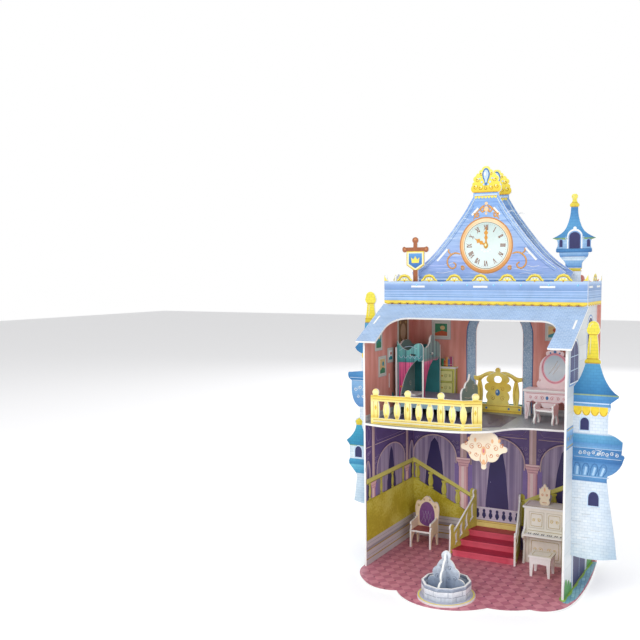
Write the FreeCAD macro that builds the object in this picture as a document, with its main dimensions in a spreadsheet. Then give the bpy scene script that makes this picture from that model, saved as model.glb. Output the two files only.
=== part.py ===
import FreeCAD, Part
import math
import os
from types import SimpleNamespace

# Toy castle of slotted printed foam board, an open doll's house with its furniture.
# Millimetres, +Z up, the open front towards -Y. The origin is on the underside of the base
# plate, midway between the side walls and midway between their front edges and the back.

Vec = FreeCAD.Vector

driving = {
    # the sheet that every piece is cut from
    "board": 2.0,               # thickness of the board
    "slot_clearance": 0.1,      # air on each side of a tab in its slot
    "tab_length": 15.6,         # long tabs between the main boards
    # shell of the house
    "castle_width": 213.0,      # over the outer faces of the two side walls
    "castle_depth": 120.0,      # front edge of a side wall to the outside of the back wall
    "board_lap": 4.0,           # back wall and parapet stand out this far past a side wall
    "floor_top": 156.0,         # walking surface of the upper storey
    "deck_top": 297.0,          # upper side of the flat roof deck
    "base_margin": 2.0,         # base plate past the left wall and past the back
    "window_half": 27.0,        # half width of the tall opening upstairs
    "window_spring": 243.0,     # where the round head of that opening starts
    # lean-to roof over the open front
    "eave_front": 67.0,         # eave line, forward of the middle
    "eave_height": 241.5,
    "roof_overhang": 5.0,       # past each side wall
    "cutout_half": 90.0,        # big opening under the roof
    "cutout_top": 46.5,         # up the slope from the eave
    "cutout_corner": 19.0,
    "roof_tab_up": 41.0,        # middle of the wall's tab, up the slope
    # parapet round the deck
    "parapet_front": 3.0,       # its front face, forward of the middle
    "parapet_foot": 277.0,
    "parapet_line": 301.2,      # top edge between the swags
    "swag_pitch": 28.75,
    "swag_half": 9.8,
    "swag_rise": 7.5,
    "scallop_pitch": 9.2,
    "scallop_drop": 1.5,
    "deck_tab_spread": 70.5,    # outer deck tabs from the middle one
    # the two clock gables on the deck
    "gable_front_face": 12.0,   # y of the front gable's face
    "gable_back_gap": 15.0,     # rear gable's face to the outside of the back wall
    "gable_half": 84.0,         # half the span over the upturned tips
    "gable_rise": 122.0,        # deck to the top of the crown
    "spacer_angle": 46.5,       # slope of the boards that tie the gables together
    "spacer_low_x": 48.7,
    "spacer_low_z": 329.2,
    "spacer_low_tab": 17.0,
    "spacer_high_x": 11.9,
    "spacer_high_z": 373.4,
    "spacer_high_tab": 10.0,
    "spacer_shoulder": 2.5,     # spacer is wider than its tab on each side
    # ornaments that stand on the deck
    "banner_gap": 33.9,         # to the outside of the left parapet
    "banner_face": 4.0,
    "turret_gap": 28.1,         # to the outside of the right parapet
    "turret_back_gap": 8.0,     # turret's face to the outside of the back wall
    # flat towers outside the side walls
    "right_tower_y": -34.0,     # middle of the board
    "left_tower_y": -4.6,
    "tower_tab_low": 77.0,
    "tower_tab_mid": 127.0,
    "tower_tab_high": 193.5,
    # railing along the front of the upper floor
    "railing_left_x": -96.5,
    "railing_lead": 2.8,        # its left end, forward of the walls
    "railing_turn": 1.8,        # plan angle of the long run, degrees
    "railing_fold": 31.0,       # further turn of the short run
    "railing_long": 100.9,
    "railing_short": 18.6,
    "post_first": 5.6,
    "rail_low": 6.5,
    "rail_under": 24.0,
    "rail_top": 30.0,
    # railing in the window
    "sill_rail_half": 27.6,
    # stairs
    "stair_share": 0.1169,      # inner face of a stair side at the back wall, as a share of the width
    "stair_splay": 12.0,        # degrees
    "stair_overhang": 3.6,      # a stair side reaches past the lowest tread
    "landing": 0.5,
    "step_run": 16.5,
    "step_rise": 7.0,
    "step_nosing": 1.0,
    "step_tab": 7.0,
    # fountain on the terrace
    "fountain_x": 2.4,
    "fountain_y": -97.5,
    "fountain_disc": 28.0,
    "basin_outer": 24.0,
    "basin_rise": 14.0,
    "statue_half": 19.0,
    "statue_top": 47.0,
    # chandelier
    "chandelier_gap": 14.4,     # past the fold of the railing
    "chandelier_face": -41.0,
    "chandelier_tab": 10.0,
    # tufted chair
    "chair_gap": 28.0,          # left wall to the middle of the chair
    "chair_back_gap": 26.0,     # face of its back to the outside of the back wall
    "chair_half": 13.0,
    "chair_depth": 19.0,
    "chair_seat_top": 22.0,
    # upright piano and its stool
    "piano_gap_share": 0.0798,  # space to the right wall, as a share of the width
    "piano_share": 0.216,       # its own width, likewise
    "piano_back_gap": 14.0,     # to the outside of the back wall
    "piano_depth": 22.0,
    "piano_shelf_depth": 9.0,
    "piano_shelf_top": 35.4,
    "piano_rise": 60.0,
    "music_stool_gap": 34.7,    # middle of the stool to the right wall
    "music_stool_lead": 19.5,   # middle of the stool to the keyboard shelf's front
    "music_stool_width": 22.0,
    "music_stool_depth": 18.0,
    "music_stool_top": 24.0,
    # chest of drawers and the books on it
    "chest_gap": 24.5,          # to the left wall
    "chest_width": 30.5,
    "chest_depth": 8.0,
    "chest_rise": 47.0,
    # canopy bed
    "bed_gap": 5.5,             # to the left wall
    "bed_length": 78.0,
    "bed_back_gap": 12.0,       # to the outside of the back wall
    "bed_width": 48.0,
    "canopy_length": 33.0,
    "mattress_top": 176.0,
    "canopy_low": 218.0,
    # dressing table, mirror and stool
    "vanity_gap": 17.7,         # to the right wall
    "vanity_half": 25.0,
    "vanity_back_gap": 7.0,     # to the outside of the back wall
    "vanity_depth": 20.0,
    "vanity_rise": 29.5,
    "vanity_stool_gap": 37.5,   # middle of the stool to the right wall
    "vanity_stool_lead": 22.0,  # middle of the stool to the table's face
    "vanity_stool_turn": -8.0,
    "vanity_stool_width": 22.0,
    "vanity_stool_depth": 13.0,
    "vanity_stool_rise": 21.6,
    "vanity_seat_rise": 15.0,
}

derived = {
    "wall_inside": "castle_width / 2 - board",
    "back_inside": "castle_depth / 2 - board",
    "bed_left": "bed_gap - wall_inside",
    "bed_right": "bed_left + bed_length",
    "canopy_right": "bed_left + canopy_length",
    "chest_left": "chest_gap - wall_inside",
    "chest_face": "back_inside - chest_depth",
    "chair_x": "chair_gap - wall_inside",
    "railing_left_y": "-castle_depth / 2 - railing_lead",
    "bed_back": "castle_depth / 2 - bed_back_gap",
    "bed_front": "bed_back - bed_width",
    "chair_back_face": "castle_depth / 2 - chair_back_gap",
    "piano_back": "castle_depth / 2 - piano_back_gap",
    "piano_face": "piano_back - piano_depth",
    "piano_shelf_front": "piano_face - piano_shelf_depth",
    "music_stool_y": "piano_shelf_front - music_stool_lead",
    "vanity_back": "castle_depth / 2 - vanity_back_gap",
    "vanity_face": "vanity_back - vanity_depth",
    "vanity_stool_y": "vanity_face - vanity_stool_lead",
    "gable_back_face": "castle_depth / 2 - gable_back_gap",
    "banner_x": "banner_gap - castle_width / 2 - board_lap",
    "turret_x": "castle_width / 2 + board_lap - turret_gap",
    "turret_face": "castle_depth / 2 - turret_back_gap",
    "stair_back_half": "castle_width * stair_share",
    "chandelier_x": "railing_left_x + railing_long + chandelier_gap",
    "piano_width": "castle_width * piano_share",
    "piano_left": "wall_inside - castle_width * piano_gap_share - piano_width",
    "vanity_x": "wall_inside - vanity_gap - vanity_half",
    "music_stool_x": "wall_inside - music_stool_gap",
    "vanity_stool_x": "wall_inside - vanity_stool_gap",
    "post_pitch": "railing_long * 0.355",
    "step_front": "back_inside - 3 * step_run - landing",
    "stair_length": "3 * step_run + landing + stair_overhang",
}

doc = FreeCAD.newDocument("SlottedCastle")
sheet = doc.addObject("Spreadsheet::Sheet", "sizes")
cells = {**{alias: str(value) for alias, value in driving.items()},
         **{alias: "=" + formula for alias, formula in derived.items()}}
for row, (alias, content) in enumerate(cells.items(), start=1):
    sheet.set(f"A{row}", alias)
    sheet.set(f"B{row}", content)
    sheet.setAlias(f"B{row}", alias)
    doc.recompute()
S = SimpleNamespace(**{alias: float(sheet.get(alias)) for alias in cells})

nodes = []
t = S.board
air = S.slot_clearance
wall_out = S.castle_width / 2
wall_in = wall_out - t
lap_out = wall_out + S.board_lap
front = -S.castle_depth / 2
back_out = S.castle_depth / 2
back_in = back_out - t
deck_low = S.deck_top - t
deck_half = lap_out - t
floor_low = S.floor_top - t
large_round = 25.0      # arcs wider than this stay true arcs
chord_error = 0.14      # how far a chord may leave a tighter round or a free curve
tower_tabs = (S.tower_tab_low, S.tower_tab_mid, S.tower_tab_high)


# Outlines: a step is a point for a straight line, ("arc", via, end) or ("curve", points...)

def segments(start, steps):
    found, here = [], start
    for step in steps:
        if isinstance(step[0], str):
            kind, points = step[0], [here, *step[1:]]
        else:
            kind, points = "line", [here, step]
        if kind != "line" or math.dist(points[0], points[1]) > 1e-6:
            found.append((kind, points))
        here = points[-1]
    return found


def edge(kind, points):
    spots = [Vec(x, y, 0) for x, y in points]
    if kind == "arc":
        run = Part.Arc(*spots)
        if run.toShape().Curve.Radius > large_round:
            return [run]
    elif kind == "curve":
        run = Part.BSplineCurve()
        run.interpolate(spots)
    if kind != "line":
        # a cut edge this thin shows no facets, so short rounds are chords within the named error
        inner = run.toShape().discretize(QuasiDeflection=chord_error)[1:-1]
        if inner and inner[0].distanceToPoint(spots[0]) > inner[-1].distanceToPoint(spots[0]):
            inner.reverse()
        spots = [spots[0], *inner, spots[-1]]
    return [Part.LineSegment(a, b) for a, b in zip(spots, spots[1:])]


def outline(start, *steps):
    runs = segments(start, steps + (start,))
    return [one for kind, points in runs for one in edge(kind, points)]


def symmetric(axis, start, *steps):
    # start and the last step lie on the axis; the other half is the mirror image
    runs = segments(start, steps)
    other = [(kind, [(2 * axis - x, y) for x, y in reversed(points)]) for kind, points in reversed(runs)]
    return [one for kind, points in runs + other for one in edge(kind, points)]


def about(axis, half_steps):
    # half widths from an axis, as steps in the board's plane
    def move(point):
        return (axis + point[0], point[1])
    return [(step[0], *map(move, step[1:])) if isinstance(step[0], str) else move(step)
            for step in half_steps]


def profile(axis, base, half, rise, shares):
    # an outline given as shares of a half width and of a height above the base
    def place(point):
        return (axis + point[0] * half, base + point[1] * rise)
    return [(step[0], *map(place, step[1:])) if isinstance(step[0], str) else place(step)
            for step in shares]


def tabbed(a, b, places, length, depth):
    # the points of a straight edge from a to b with tabs on its right-hand side
    run = math.dist(a, b)
    ex, ey = (b[0] - a[0]) / run, (b[1] - a[1]) / run
    points = []
    for place in places:
        for along, out in ((-length / 2, 0), (-length / 2, depth), (length / 2, depth), (length / 2, 0)):
            points.append((a[0] + ex * (place + along) + ey * out, a[1] + ey * (place + along) - ex * out))
    return points + [b]


def slot(cx, cy, length, turn=0.0):
    # opening for a tab of the given length and one board thick, turned in degrees
    a, b = length / 2 + air, t / 2 + air
    co, si = math.cos(math.radians(turn)), math.sin(math.radians(turn))
    corners = [(cx + x * co - y * si, cy + x * si + y * co) for x, y in ((-a, -b), (a, -b), (a, b), (-a, b))]
    return outline(*corners)


def rectangle(x0, y0, x1, y1):
    return outline((x0, y0), (x1, y0), (x1, y1), (x0, y1))


def board(name, plane, wires, at=("0", "0", "0"), turn=None, thick="sizes.board", forwards=False, keep=True):
    # one padded sheet; the pad of XY goes up, of YZ to the right and of XZ towards the viewer
    body = doc.addObject("PartDesign::Body", name)
    body.Label = name
    own_plane = next(item for item in body.Origin.OriginFeatures if item.Role == plane + "_Plane")
    sketch = body.newObject("Sketcher::SketchObject", name + "_outline")
    sketch.AttachmentSupport = (own_plane, [""])
    sketch.MapMode = "FlatFace"
    sketch.addGeometry([one for wire in wires for one in wire], False)
    pad = body.newObject("PartDesign::Pad", name + "_pad")
    pad.Profile = sketch
    pad.Reversed = forwards
    pad.setExpression("Length", thick)
    if turn is not None:
        body.Placement = FreeCAD.Placement(Vec(), turn)
    for axis, place in zip("xyz", at):
        body.setExpression("Placement.Base." + axis, place)
    if keep:
        nodes.append(body)
    return body


def group(name, members):
    pack = doc.addObject("Part::Compound", name)
    pack.Label = name
    pack.Links = members
    nodes.append(pack)
    return pack


def about_z(degrees):
    return FreeCAD.Rotation(Vec(0, 0, 1), degrees)


# Base plate: scalloped terrace in front, plain strip behind, slots for the three walls

base_tab_places = (25.0, 90.0)
back_tab_places = (-60.0, 60.0)


def base_plate():
    left = -wall_out - S.base_margin
    rear = back_out + S.base_margin

    def ahead(across, reach):
        # across is a share of the half width, reach is how far a point lies in front of the walls
        return (across * wall_out, front - reach)
    edge_line = outline(
        (left, rear),
        (left, front + 2.0),
        ("curve", ahead(-0.977, 16.0), ahead(-0.845, 34.0), ahead(-0.695, 45.5), ahead(-0.563, 48.4),
         ahead(-0.439, 45.5)),
        ("arc", ahead(0.0, 69.8), ahead(0.446, 47.3)),
        ("arc", ahead(0.634, 44.0), ahead(0.789, 34.0)),
        ("curve", ahead(0.910, 32.6), ahead(1.020, 23.0), ahead(1.084, 7.0), (1.106 * wall_out, front + 10.0)),
        ("curve", (1.113 * wall_out, front / 3), (1.083 * wall_out, back_out / 2), (lap_out + 1.0, rear)))
    slots = [slot(side * (wall_in + t / 2), front + place, S.tab_length, 90)
             for side in (-1, 1) for place in base_tab_places]
    slots += [slot(place, back_in + t / 2, S.tab_length) for place in back_tab_places]
    board("base_plate", "XY", [edge_line, *slots])


# Side walls: they carry the roof slope, the deck, the upper floor and the towers

slope_run = S.eave_front - S.parapet_front
slope_rise = S.parapet_foot - S.eave_height
roof_length = math.hypot(slope_run, slope_rise)
roof_angle = math.atan2(slope_rise, slope_run)
along = (math.cos(roof_angle), math.sin(roof_angle))
outward = (-along[1], along[0])
eave_under = (-S.eave_front - outward[0] * t, S.eave_height - outward[1] * t)
parapet_in = -S.parapet_front + t
wall_tab_heights = (45.0, 215.0)
left_floor_tabs = (-38.0, 20.0)
right_floor_tabs = (12.0, 42.0)


def under_roof(y):
    return eave_under[1] + (y - eave_under[0]) * math.tan(roof_angle)


def roof_tab(up, out):
    return (eave_under[0] + along[0] * up + outward[0] * out, eave_under[1] + along[1] * up + outward[1] * out)


def side_wall(name, place, floor_tabs, tower_y):
    low_front, low_back = (front, t), (back_in, t)
    tab_low, tab_high = S.roof_tab_up - S.tab_length / 2, S.roof_tab_up + S.tab_length / 2
    shape = outline(
        low_front,
        *tabbed(low_front, low_back, base_tab_places, S.tab_length, t),
        *tabbed(low_back, (back_in, deck_low), [z - t for z in wall_tab_heights], S.tab_length, t),
        (parapet_in, deck_low),
        (parapet_in, under_roof(parapet_in)),
        roof_tab(tab_high, 0), roof_tab(tab_high, t), roof_tab(tab_low, t), roof_tab(tab_low, 0),
        (front, under_roof(front)))
    holes = [slot(y, S.floor_top - t / 2, S.tab_length) for y in floor_tabs]
    holes += [slot(tower_y, z, S.tab_length, 90) for z in tower_tabs]
    board(name, "YZ", [shape, *holes], at=(place, "0", "0"))


# Swags along the top of the parapet, and the scallops along its foot

def swag(middle, line):
    r, w = S.swag_rise, S.swag_half
    return [(middle - w, line),
            ("arc", (middle - 0.80 * w, line + 0.06 * r), (middle - 0.66 * w, line + 0.34 * r)),
            ("arc", (middle - 0.47 * w, line + 0.80 * r), (middle - 0.26 * w, line + 0.86 * r)),
            ("arc", (middle, line + 1.06 * r), (middle + 0.26 * w, line + 0.86 * r)),
            ("arc", (middle + 0.47 * w, line + 0.80 * r), (middle + 0.66 * w, line + 0.34 * r)),
            ("arc", (middle + 0.80 * w, line + 0.06 * r), (middle + w, line))]


def reversed_steps(start, steps):
    # the same run walked backwards; the first point is where the run ended
    runs = segments(start, steps)
    turned = []
    for kind, points in reversed(runs):
        points = points[::-1]
        turned.append(points[1] if kind == "line" else (kind, *points[1:]))
    return runs[-1][1][-1], turned


def swag_line(low, high, line, middle):
    # from low to high, with half a swag at each end
    count = int(((high - low) / 2 - S.swag_half) / S.swag_pitch)
    tip = line + 0.9 * S.swag_rise
    shoulder = S.swag_half * 0.5
    steps = [(low + 0.4 * shoulder, line + 0.4 * S.swag_rise), (low + 1.1 * shoulder, line)]
    for number in range(-count, count + 1):
        steps += swag(middle + number * S.swag_pitch, line)
    steps += [(high - 1.1 * shoulder, line), (high - 0.4 * shoulder, line + 0.4 * S.swag_rise), (high, tip)]
    return (low, tip), steps


def scallops(low, high, foot):
    count = round((high - low) / S.scallop_pitch)
    pitch = (high - low) / count
    return [("arc", (low + (number + 0.5) * pitch, foot), (low + (number + 1) * pitch, foot + S.scallop_drop))
            for number in range(count)]


# Back wall: arched opening upstairs, swags on top, slots for every board that ends in it

deck_tab_places = (-S.deck_tab_spread, 0.0, S.deck_tab_spread)


def back_wall():
    tip, swags = swag_line(-lap_out, lap_out, S.parapet_line, 0.0)
    top_end, top_steps = reversed_steps(tip, swags)
    left_foot, right_foot = (-lap_out, t), (lap_out, t)
    shape = outline(
        left_foot,
        *tabbed(left_foot, right_foot, [lap_out + x for x in back_tab_places], S.tab_length, t),
        top_end, *top_steps)
    w = S.window_half
    opening = outline((-w, S.floor_top), (w, S.floor_top), (w, S.window_spring),
                      ("arc", (0, S.window_spring + w), (-w, S.window_spring)))
    holes = [slot(side * (wall_in + t / 2), z, S.tab_length, 90) for side in (-1, 1) for z in wall_tab_heights]
    holes += [slot(x, S.floor_top - t / 2, S.tab_length) for x in back_tab_places]
    holes += [slot(x, S.deck_top - t / 2, S.tab_length) for x in deck_tab_places]
    board("back_wall", "XZ", [shape, opening, *holes], at=("0", "sizes.castle_depth / 2", "0"))


# Upper floor: its front edge swings back on the right, in front of the stairs

railing_run = math.radians(S.railing_turn)
railing_bend = math.radians(S.railing_turn + S.railing_fold)
fold_x = S.railing_left_x + S.railing_long * math.cos(railing_run)
fold_y = S.railing_left_y + S.railing_long * math.sin(railing_run)
railing_tabs = (S.post_first + S.post_pitch, S.post_first + 2 * S.post_pitch)
short_post = S.post_first + 3 * S.post_pitch - S.railing_long
sill_tabs = (-20.0, 20.0)
railing_tab = 8.0


def railing_spot(bent, place, depth):
    x, y, angle = (fold_x, fold_y, railing_bend) if bent else (S.railing_left_x, S.railing_left_y, railing_run)
    return (x + place * math.cos(angle) - depth * math.sin(angle),
            y + place * math.sin(angle) + depth * math.cos(angle))


def upper_floor():
    left_back, left_front = (-wall_in, back_in), (-wall_in, front - 1.5)
    right_front, right_back = (wall_in, -8.5), (wall_in, back_in)
    run_edge = [railing_spot(False, share * S.railing_long, -lip)
                for share, lip in ((0.03, 1.9), (0.33, 6.2), (0.55, 6.0), (0.76, 5.2), (0.94, 3.6))]
    corner = railing_spot(True, S.railing_short, -3.4)

    def swing(share_x, share_y):
        return (corner[0] + share_x * (right_front[0] - corner[0]),
                corner[1] + share_y * (right_front[1] - corner[1]))
    shape = outline(
        left_back,
        *tabbed(left_back, left_front, [back_in - y for y in reversed(left_floor_tabs)], S.tab_length, t),
        ("curve", *run_edge, railing_spot(True, 0.45 * S.railing_short, -3.2), corner),
        ("curve", swing(0.10, 0.17), swing(0.17, 0.41), swing(0.255, 0.61), swing(0.36, 0.75),
         swing(0.50, 0.82), right_front),
        *tabbed(right_front, right_back, [y + 8.5 for y in right_floor_tabs], S.tab_length, t),
        *tabbed(right_back, left_back, [wall_in - x for x in reversed(back_tab_places)], S.tab_length, t))
    holes = [slot(*railing_spot(False, place, t / 2), railing_tab, S.railing_turn) for place in railing_tabs]
    holes.append(slot(*railing_spot(True, short_post, t / 2), railing_tab, S.railing_turn + S.railing_fold))
    holes += [slot(x, back_in - 1.5 * t, railing_tab) for x in sill_tabs]
    holes.append(slot(S.chandelier_x, S.chandelier_face + t / 2, S.chandelier_tab))
    board("upper_floor", "XY", [shape, *holes], at=("0", "0", "sizes.floor_top - sizes.board"))


# Lean-to roof with the wide cut-out that opens the upper room

def roof_front():
    half = wall_out + S.roof_overhang
    c, top, r = S.cutout_half, S.cutout_top, S.cutout_corner
    shape = symmetric(
        0.0, (0.0, top), (c - r, top),
        ("arc", (c - r * (1 - math.sin(math.radians(45))), top - r * (1 - math.sin(math.radians(45)))),
         (c, top - r)),
        (c - 1.0, 0.0), (half, 0.0), (half, roof_length), (0.0, roof_length))
    slots = [slot(side * (wall_in + t / 2), S.roof_tab_up, S.tab_length, 90) for side in (-1, 1)]
    roof = board("roof_front", "XY", [shape, *slots],
                 turn=FreeCAD.Rotation(Vec(1, 0, 0), math.degrees(roof_angle)))
    roof.setExpression("Placement.Base.y", f"-sizes.eave_front + {along[1]:.9f} * sizes.board")
    roof.setExpression("Placement.Base.z", f"sizes.eave_height - {along[0]:.9f} * sizes.board")


# Flat deck, and the parapet whose slots take the deck's tabs

side_tab_places = (10.6, back_in - 14.0)
gable_tab_places = (28.0, 60.0)
gable_tab = 14.0
banner_tab = 4.0
turret_tab = 9.0


def roof_deck():
    left_back, left_front = (-deck_half, back_in), (-deck_half, parapet_in)
    right_front, right_back = (deck_half, parapet_in), (deck_half, back_in)
    shape = outline(
        left_back,
        *tabbed(left_back, left_front, [back_in - y for y in reversed(side_tab_places)], S.tab_length, t),
        *tabbed(left_front, right_front, [deck_half + x for x in deck_tab_places], S.tab_length, t),
        *tabbed(right_front, right_back, [y - parapet_in for y in side_tab_places], S.tab_length, t),
        *tabbed(right_back, left_back, [deck_half - x for x in reversed(deck_tab_places)], S.tab_length, t))
    holes = [slot(side * x, face + t / 2, gable_tab) for face in (S.gable_front_face, S.gable_back_face)
             for x in gable_tab_places for side in (-1, 1)]
    holes.append(slot(S.banner_x, S.banner_face + t / 2, banner_tab))
    holes.append(slot(S.turret_x, S.turret_face + t / 2, turret_tab))
    board("roof_deck", "XY", [shape, *holes], at=("0", "0", "sizes.deck_top - sizes.board"))


def parapet(name, plane, low, high, middle, tab_places, at):
    tip, swags = swag_line(low, high, S.parapet_line, middle)
    top_end, top_steps = reversed_steps(tip, swags)
    foot = S.parapet_foot
    shape = outline((low, foot + S.scallop_drop), *scallops(low, high, foot), top_end, *top_steps)
    slots = [slot(place, S.deck_top - t / 2, S.tab_length) for place in tab_places]
    board(name, plane, [shape, *slots], at=at)


def parapets():
    parapet("parapet_front", "XZ", -lap_out, lap_out, 0.0, deck_tab_places,
            ("0", "sizes.board - sizes.parapet_front", "0"))
    middle = (parapet_in + back_in) / 2
    parapet("parapet_left", "YZ", parapet_in, back_in, middle, side_tab_places,
            ("-sizes.castle_width / 2 - sizes.board_lap", "0", "0"))
    parapet("parapet_right", "YZ", parapet_in, back_in, middle, side_tab_places,
            ("sizes.castle_width / 2 + sizes.board_lap - sizes.board", "0", "0"))


# Twin gables with a crown of round lobes, tied together by four sloping spacers

def gable(name, face):
    low, top = S.deck_top, deck_low
    steps = []
    for place in gable_tab_places:
        steps += [(place - gable_tab / 2, low), (place - gable_tab / 2, top),
                  (place + gable_tab / 2, top), (place + gable_tab / 2, low)]
    steps += profile(0.0, low, S.gable_half, S.gable_rise, [
        (0.905, 0.0), (0.905, 0.082),
        ("arc", (0.974, 0.079), (1.0, 0.113)),
        ("curve", (0.924, 0.148), (0.812, 0.202), (0.712, 0.262), (0.601, 0.343), (0.471, 0.449),
         (0.360, 0.549), (0.271, 0.631), (0.212, 0.695), (0.164, 0.751)),
        (0.164, 0.783),
        ("arc", (0.196, 0.812), (0.176, 0.846)),
        ("arc", (0.172, 0.868), (0.150, 0.873)),
        ("arc", (0.166, 0.901), (0.132, 0.922)),
        ("arc", (0.114, 0.943), (0.087, 0.943)),
        ("arc", (0.086, 0.964), (0.055, 0.972)),
        ("arc", (0.038, 0.995), (0.0, 1.0))])
    shape = symmetric(0.0, (0.0, low), *steps)
    slots = [slot(side * x, z, tab, -side * S.spacer_angle) for side in (-1, 1)
             for x, z, tab in ((S.spacer_low_x, S.spacer_low_z, S.spacer_low_tab),
                               (S.spacer_high_x, S.spacer_high_z, S.spacer_high_tab))]
    board(name, "XZ", [shape, *slots], at=("0", face + " + sizes.board", "0"))


def spacer_pair(name, x, z, tab):
    near, far = S.gable_front_face + t, S.gable_back_face
    half = tab / 2 + S.spacer_shoulder
    corners = [(-half, near), (half, near), (half, far), (-half, far)]
    shape = outline(corners[0],
                    *tabbed(corners[0], corners[1], [half], tab, t), corners[2],
                    *tabbed(corners[2], corners[3], [half], tab, t))
    pair = []
    for side, word in ((-1, "left"), (1, "right")):
        turn = FreeCAD.Rotation(Vec(0, 1, 0), side * S.spacer_angle)
        spot = Vec(side * x, 0, z) - turn.multVec(Vec(0, 0, t / 2))
        one = board(f"{name}_{word}", "XY", [shape], at=(f"{spot.x:.6f}", "0", f"{spot.z:.6f}"), turn=turn,
                    keep=False)
        pair.append(one)
    group(name, pair)


def gables():
    gable("gable_front", "sizes.gable_front_face")
    gable("gable_back", "sizes.gable_back_face")
    spacer_pair("gable_low_spacers", S.spacer_low_x, S.spacer_low_z, S.spacer_low_tab)
    spacer_pair("gable_high_spacers", S.spacer_high_x, S.spacer_high_z, S.spacer_high_tab)


# Shield on its pole, and the small round turret, both flat boards standing in the deck

def shield_banner():
    low, base = S.deck_top, deck_low
    half = banner_tab / 2
    steps = about(S.banner_x, [
        (half, base), (half, low), (2.7, low), (2.7, 313.4),
        (10.4, 318.6), (10.4, 333.2),
        ("arc", (13.6, 332.4), (15.4, 335.4)), ("arc", (14.2, 338.2), (11.2, 337.6)),
        (2.4, 337.6), (2.2, 342.2),
        ("arc", (3.6, 345.6), (0.0, 348.4))])
    board("shield_banner", "XZ", [symmetric(S.banner_x, (S.banner_x, base), *steps)],
          at=("0", "sizes.banner_face + sizes.board", "0"))


def roof_turret():
    low, base = S.deck_top, deck_low
    half = turret_tab / 2
    steps = about(S.turret_x, [
        (half, base), (half, low), (8.2, low),
        ("curve", (7.4, 305.0), (7.6, 313.6)),
        (8.6, 314.0), (8.6, 317.4),
        ("curve", (9.4, 321.0), (13.6, 325.4), (15.2, 330.8)),
        (18.8, 331.4), (18.8, 334.6),
        ("arc", (17.2, 338.0), (18.4, 344.2)),
        (22.8, 345.6),
        ("curve", (15.6, 349.2), (10.2, 353.6), (6.4, 361.0), (4.0, 371.0), (3.6, 377.2)),
        ("arc", (5.0, 379.0), (3.6, 381.4)),
        ("arc", (2.2, 384.0), (3.2, 387.2)),
        ("arc", (2.4, 390.2), (0.0, 390.8))])
    board("roof_turret", "XZ", [symmetric(S.turret_x, (S.turret_x, base), *steps)],
          at=("0", "sizes.turret_face + sizes.board", "0"))


# Flat towers: silhouettes of round towers, tabbed through the side walls

def right_tower():
    x0 = wall_out
    foot, head = (x0, 38.4), (x0, 203.0)
    shape = outline(
        foot,
        ("curve", (120.0, 36.8), (136.0, 37.6), (150.1, 40.4)),
        ("curve", (146.8, 66.0), (142.8, 90.0), (139.3, 114.9)),
        (139.8, 119.4),
        ("arc", (149.2, 126.0), (154.4, 136.8)),
        ("arc", (155.0, 139.4), (152.3, 141.0)),
        (153.2, 152.8),
        ("curve", (147.4, 157.0), (139.4, 160.2)),
        (139.4, 179.0),
        ("arc", (141.6, 184.0), (141.0, 188.4)),
        ("curve", (144.4, 191.2), (148.4, 194.2)),
        (148.8, 196.0),
        ("curve", (140.2, 203.6), (134.7, 213.2), (130.6, 225.0)),
        ("arc", (131.4, 227.6), (129.4, 229.8)),
        ("curve", (128.8, 240.0), (127.5, 252.4)),
        ("arc", (129.8, 255.6), (129.0, 259.8)),
        ("arc", (123.8, 265.3), (118.6, 259.8)),
        ("arc", (117.8, 255.6), (120.1, 252.4)),
        ("curve", (118.8, 240.0), (118.2, 229.8)),
        ("arc", (116.2, 227.6), (117.0, 225.0)),
        ("curve", (113.0, 213.6), (109.9, 207.6), head),
        *tabbed(head, foot, [head[1] - z for z in reversed(tower_tabs)], S.tab_length, t))
    board("right_tower", "XZ", [shape], at=("0", "sizes.right_tower_y + sizes.board / 2", "0"))


def left_tower():
    x0 = -wall_out
    foot, head = (x0, 52.6), (x0, 226.0)
    shape = outline(
        (-149.2, 54.6),
        ("curve", (-138.0, 51.8), (-122.0, 51.4), foot),
        *tabbed(foot, head, [z - foot[1] for z in tower_tabs], S.tab_length, t),
        ("curve", (-113.4, 238.0), (-119.0, 256.4)),
        ("curve", (-121.2, 268.0), (-122.2, 277.2)),
        ("arc", (-119.8, 280.0), (-120.3, 284.0)),
        ("arc", (-126.2, 290.2), (-132.1, 284.0)),
        ("arc", (-132.6, 280.0), (-130.2, 277.2)),
        ("curve", (-131.2, 268.0), (-133.4, 256.4)),
        ("curve", (-139.0, 236.8), (-146.2, 228.6)),
        (-143.6, 225.0), (-138.2, 222.0), (-138.2, 202.4), (-154.8, 200.6),
        ("arc", (-154.4, 194.2), (-150.9, 191.6)),
        ("curve", (-150.9, 178.6), (-147.4, 167.2), (-141.2, 161.8)),
        (-141.2, 150.0),
        ("arc", (-144.6, 149.2), (-146.9, 146.2)),
        ("arc", (-147.2, 143.4), (-145.6, 141.4)),
        ("curve", (-147.8, 134.6), (-152.8, 127.8), (-158.7, 123.0)),
        (-155.9, 119.6), (-154.4, 117.4), (-154.2, 102.6),
        ("arc", (-156.0, 99.6), (-155.4, 96.2)),
        ("curve", (-151.6, 91.8), (-146.9, 86.4)),
        (-145.4, 84.4),
        ("curve", (-146.2, 70.0), (-149.2, 54.6)))
    board("left_tower", "XZ", [shape], at=("0", "sizes.left_tower_y + sizes.board / 2", "0"))


# Railings: a run of turned balusters is the sheet left between curved openings

def railing_opening(left, left_half, left_belly, right, right_half, right_belly, base):
    low, high = base + S.rail_low, base + S.rail_under
    belly = base + 0.44 * (S.rail_low + S.rail_under)
    return outline(
        (left + left_half, low), (right - right_half, low),
        ("arc", (right - right_belly, belly), (right - right_half, high)),
        (left + left_half, high),
        ("arc", (left + left_belly, belly), (left + left_half, low)))


post = (3.1, 3.9)
baluster = (1.5, 3.5)
knob_half, knob_top = 2.7, 36.8


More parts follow.
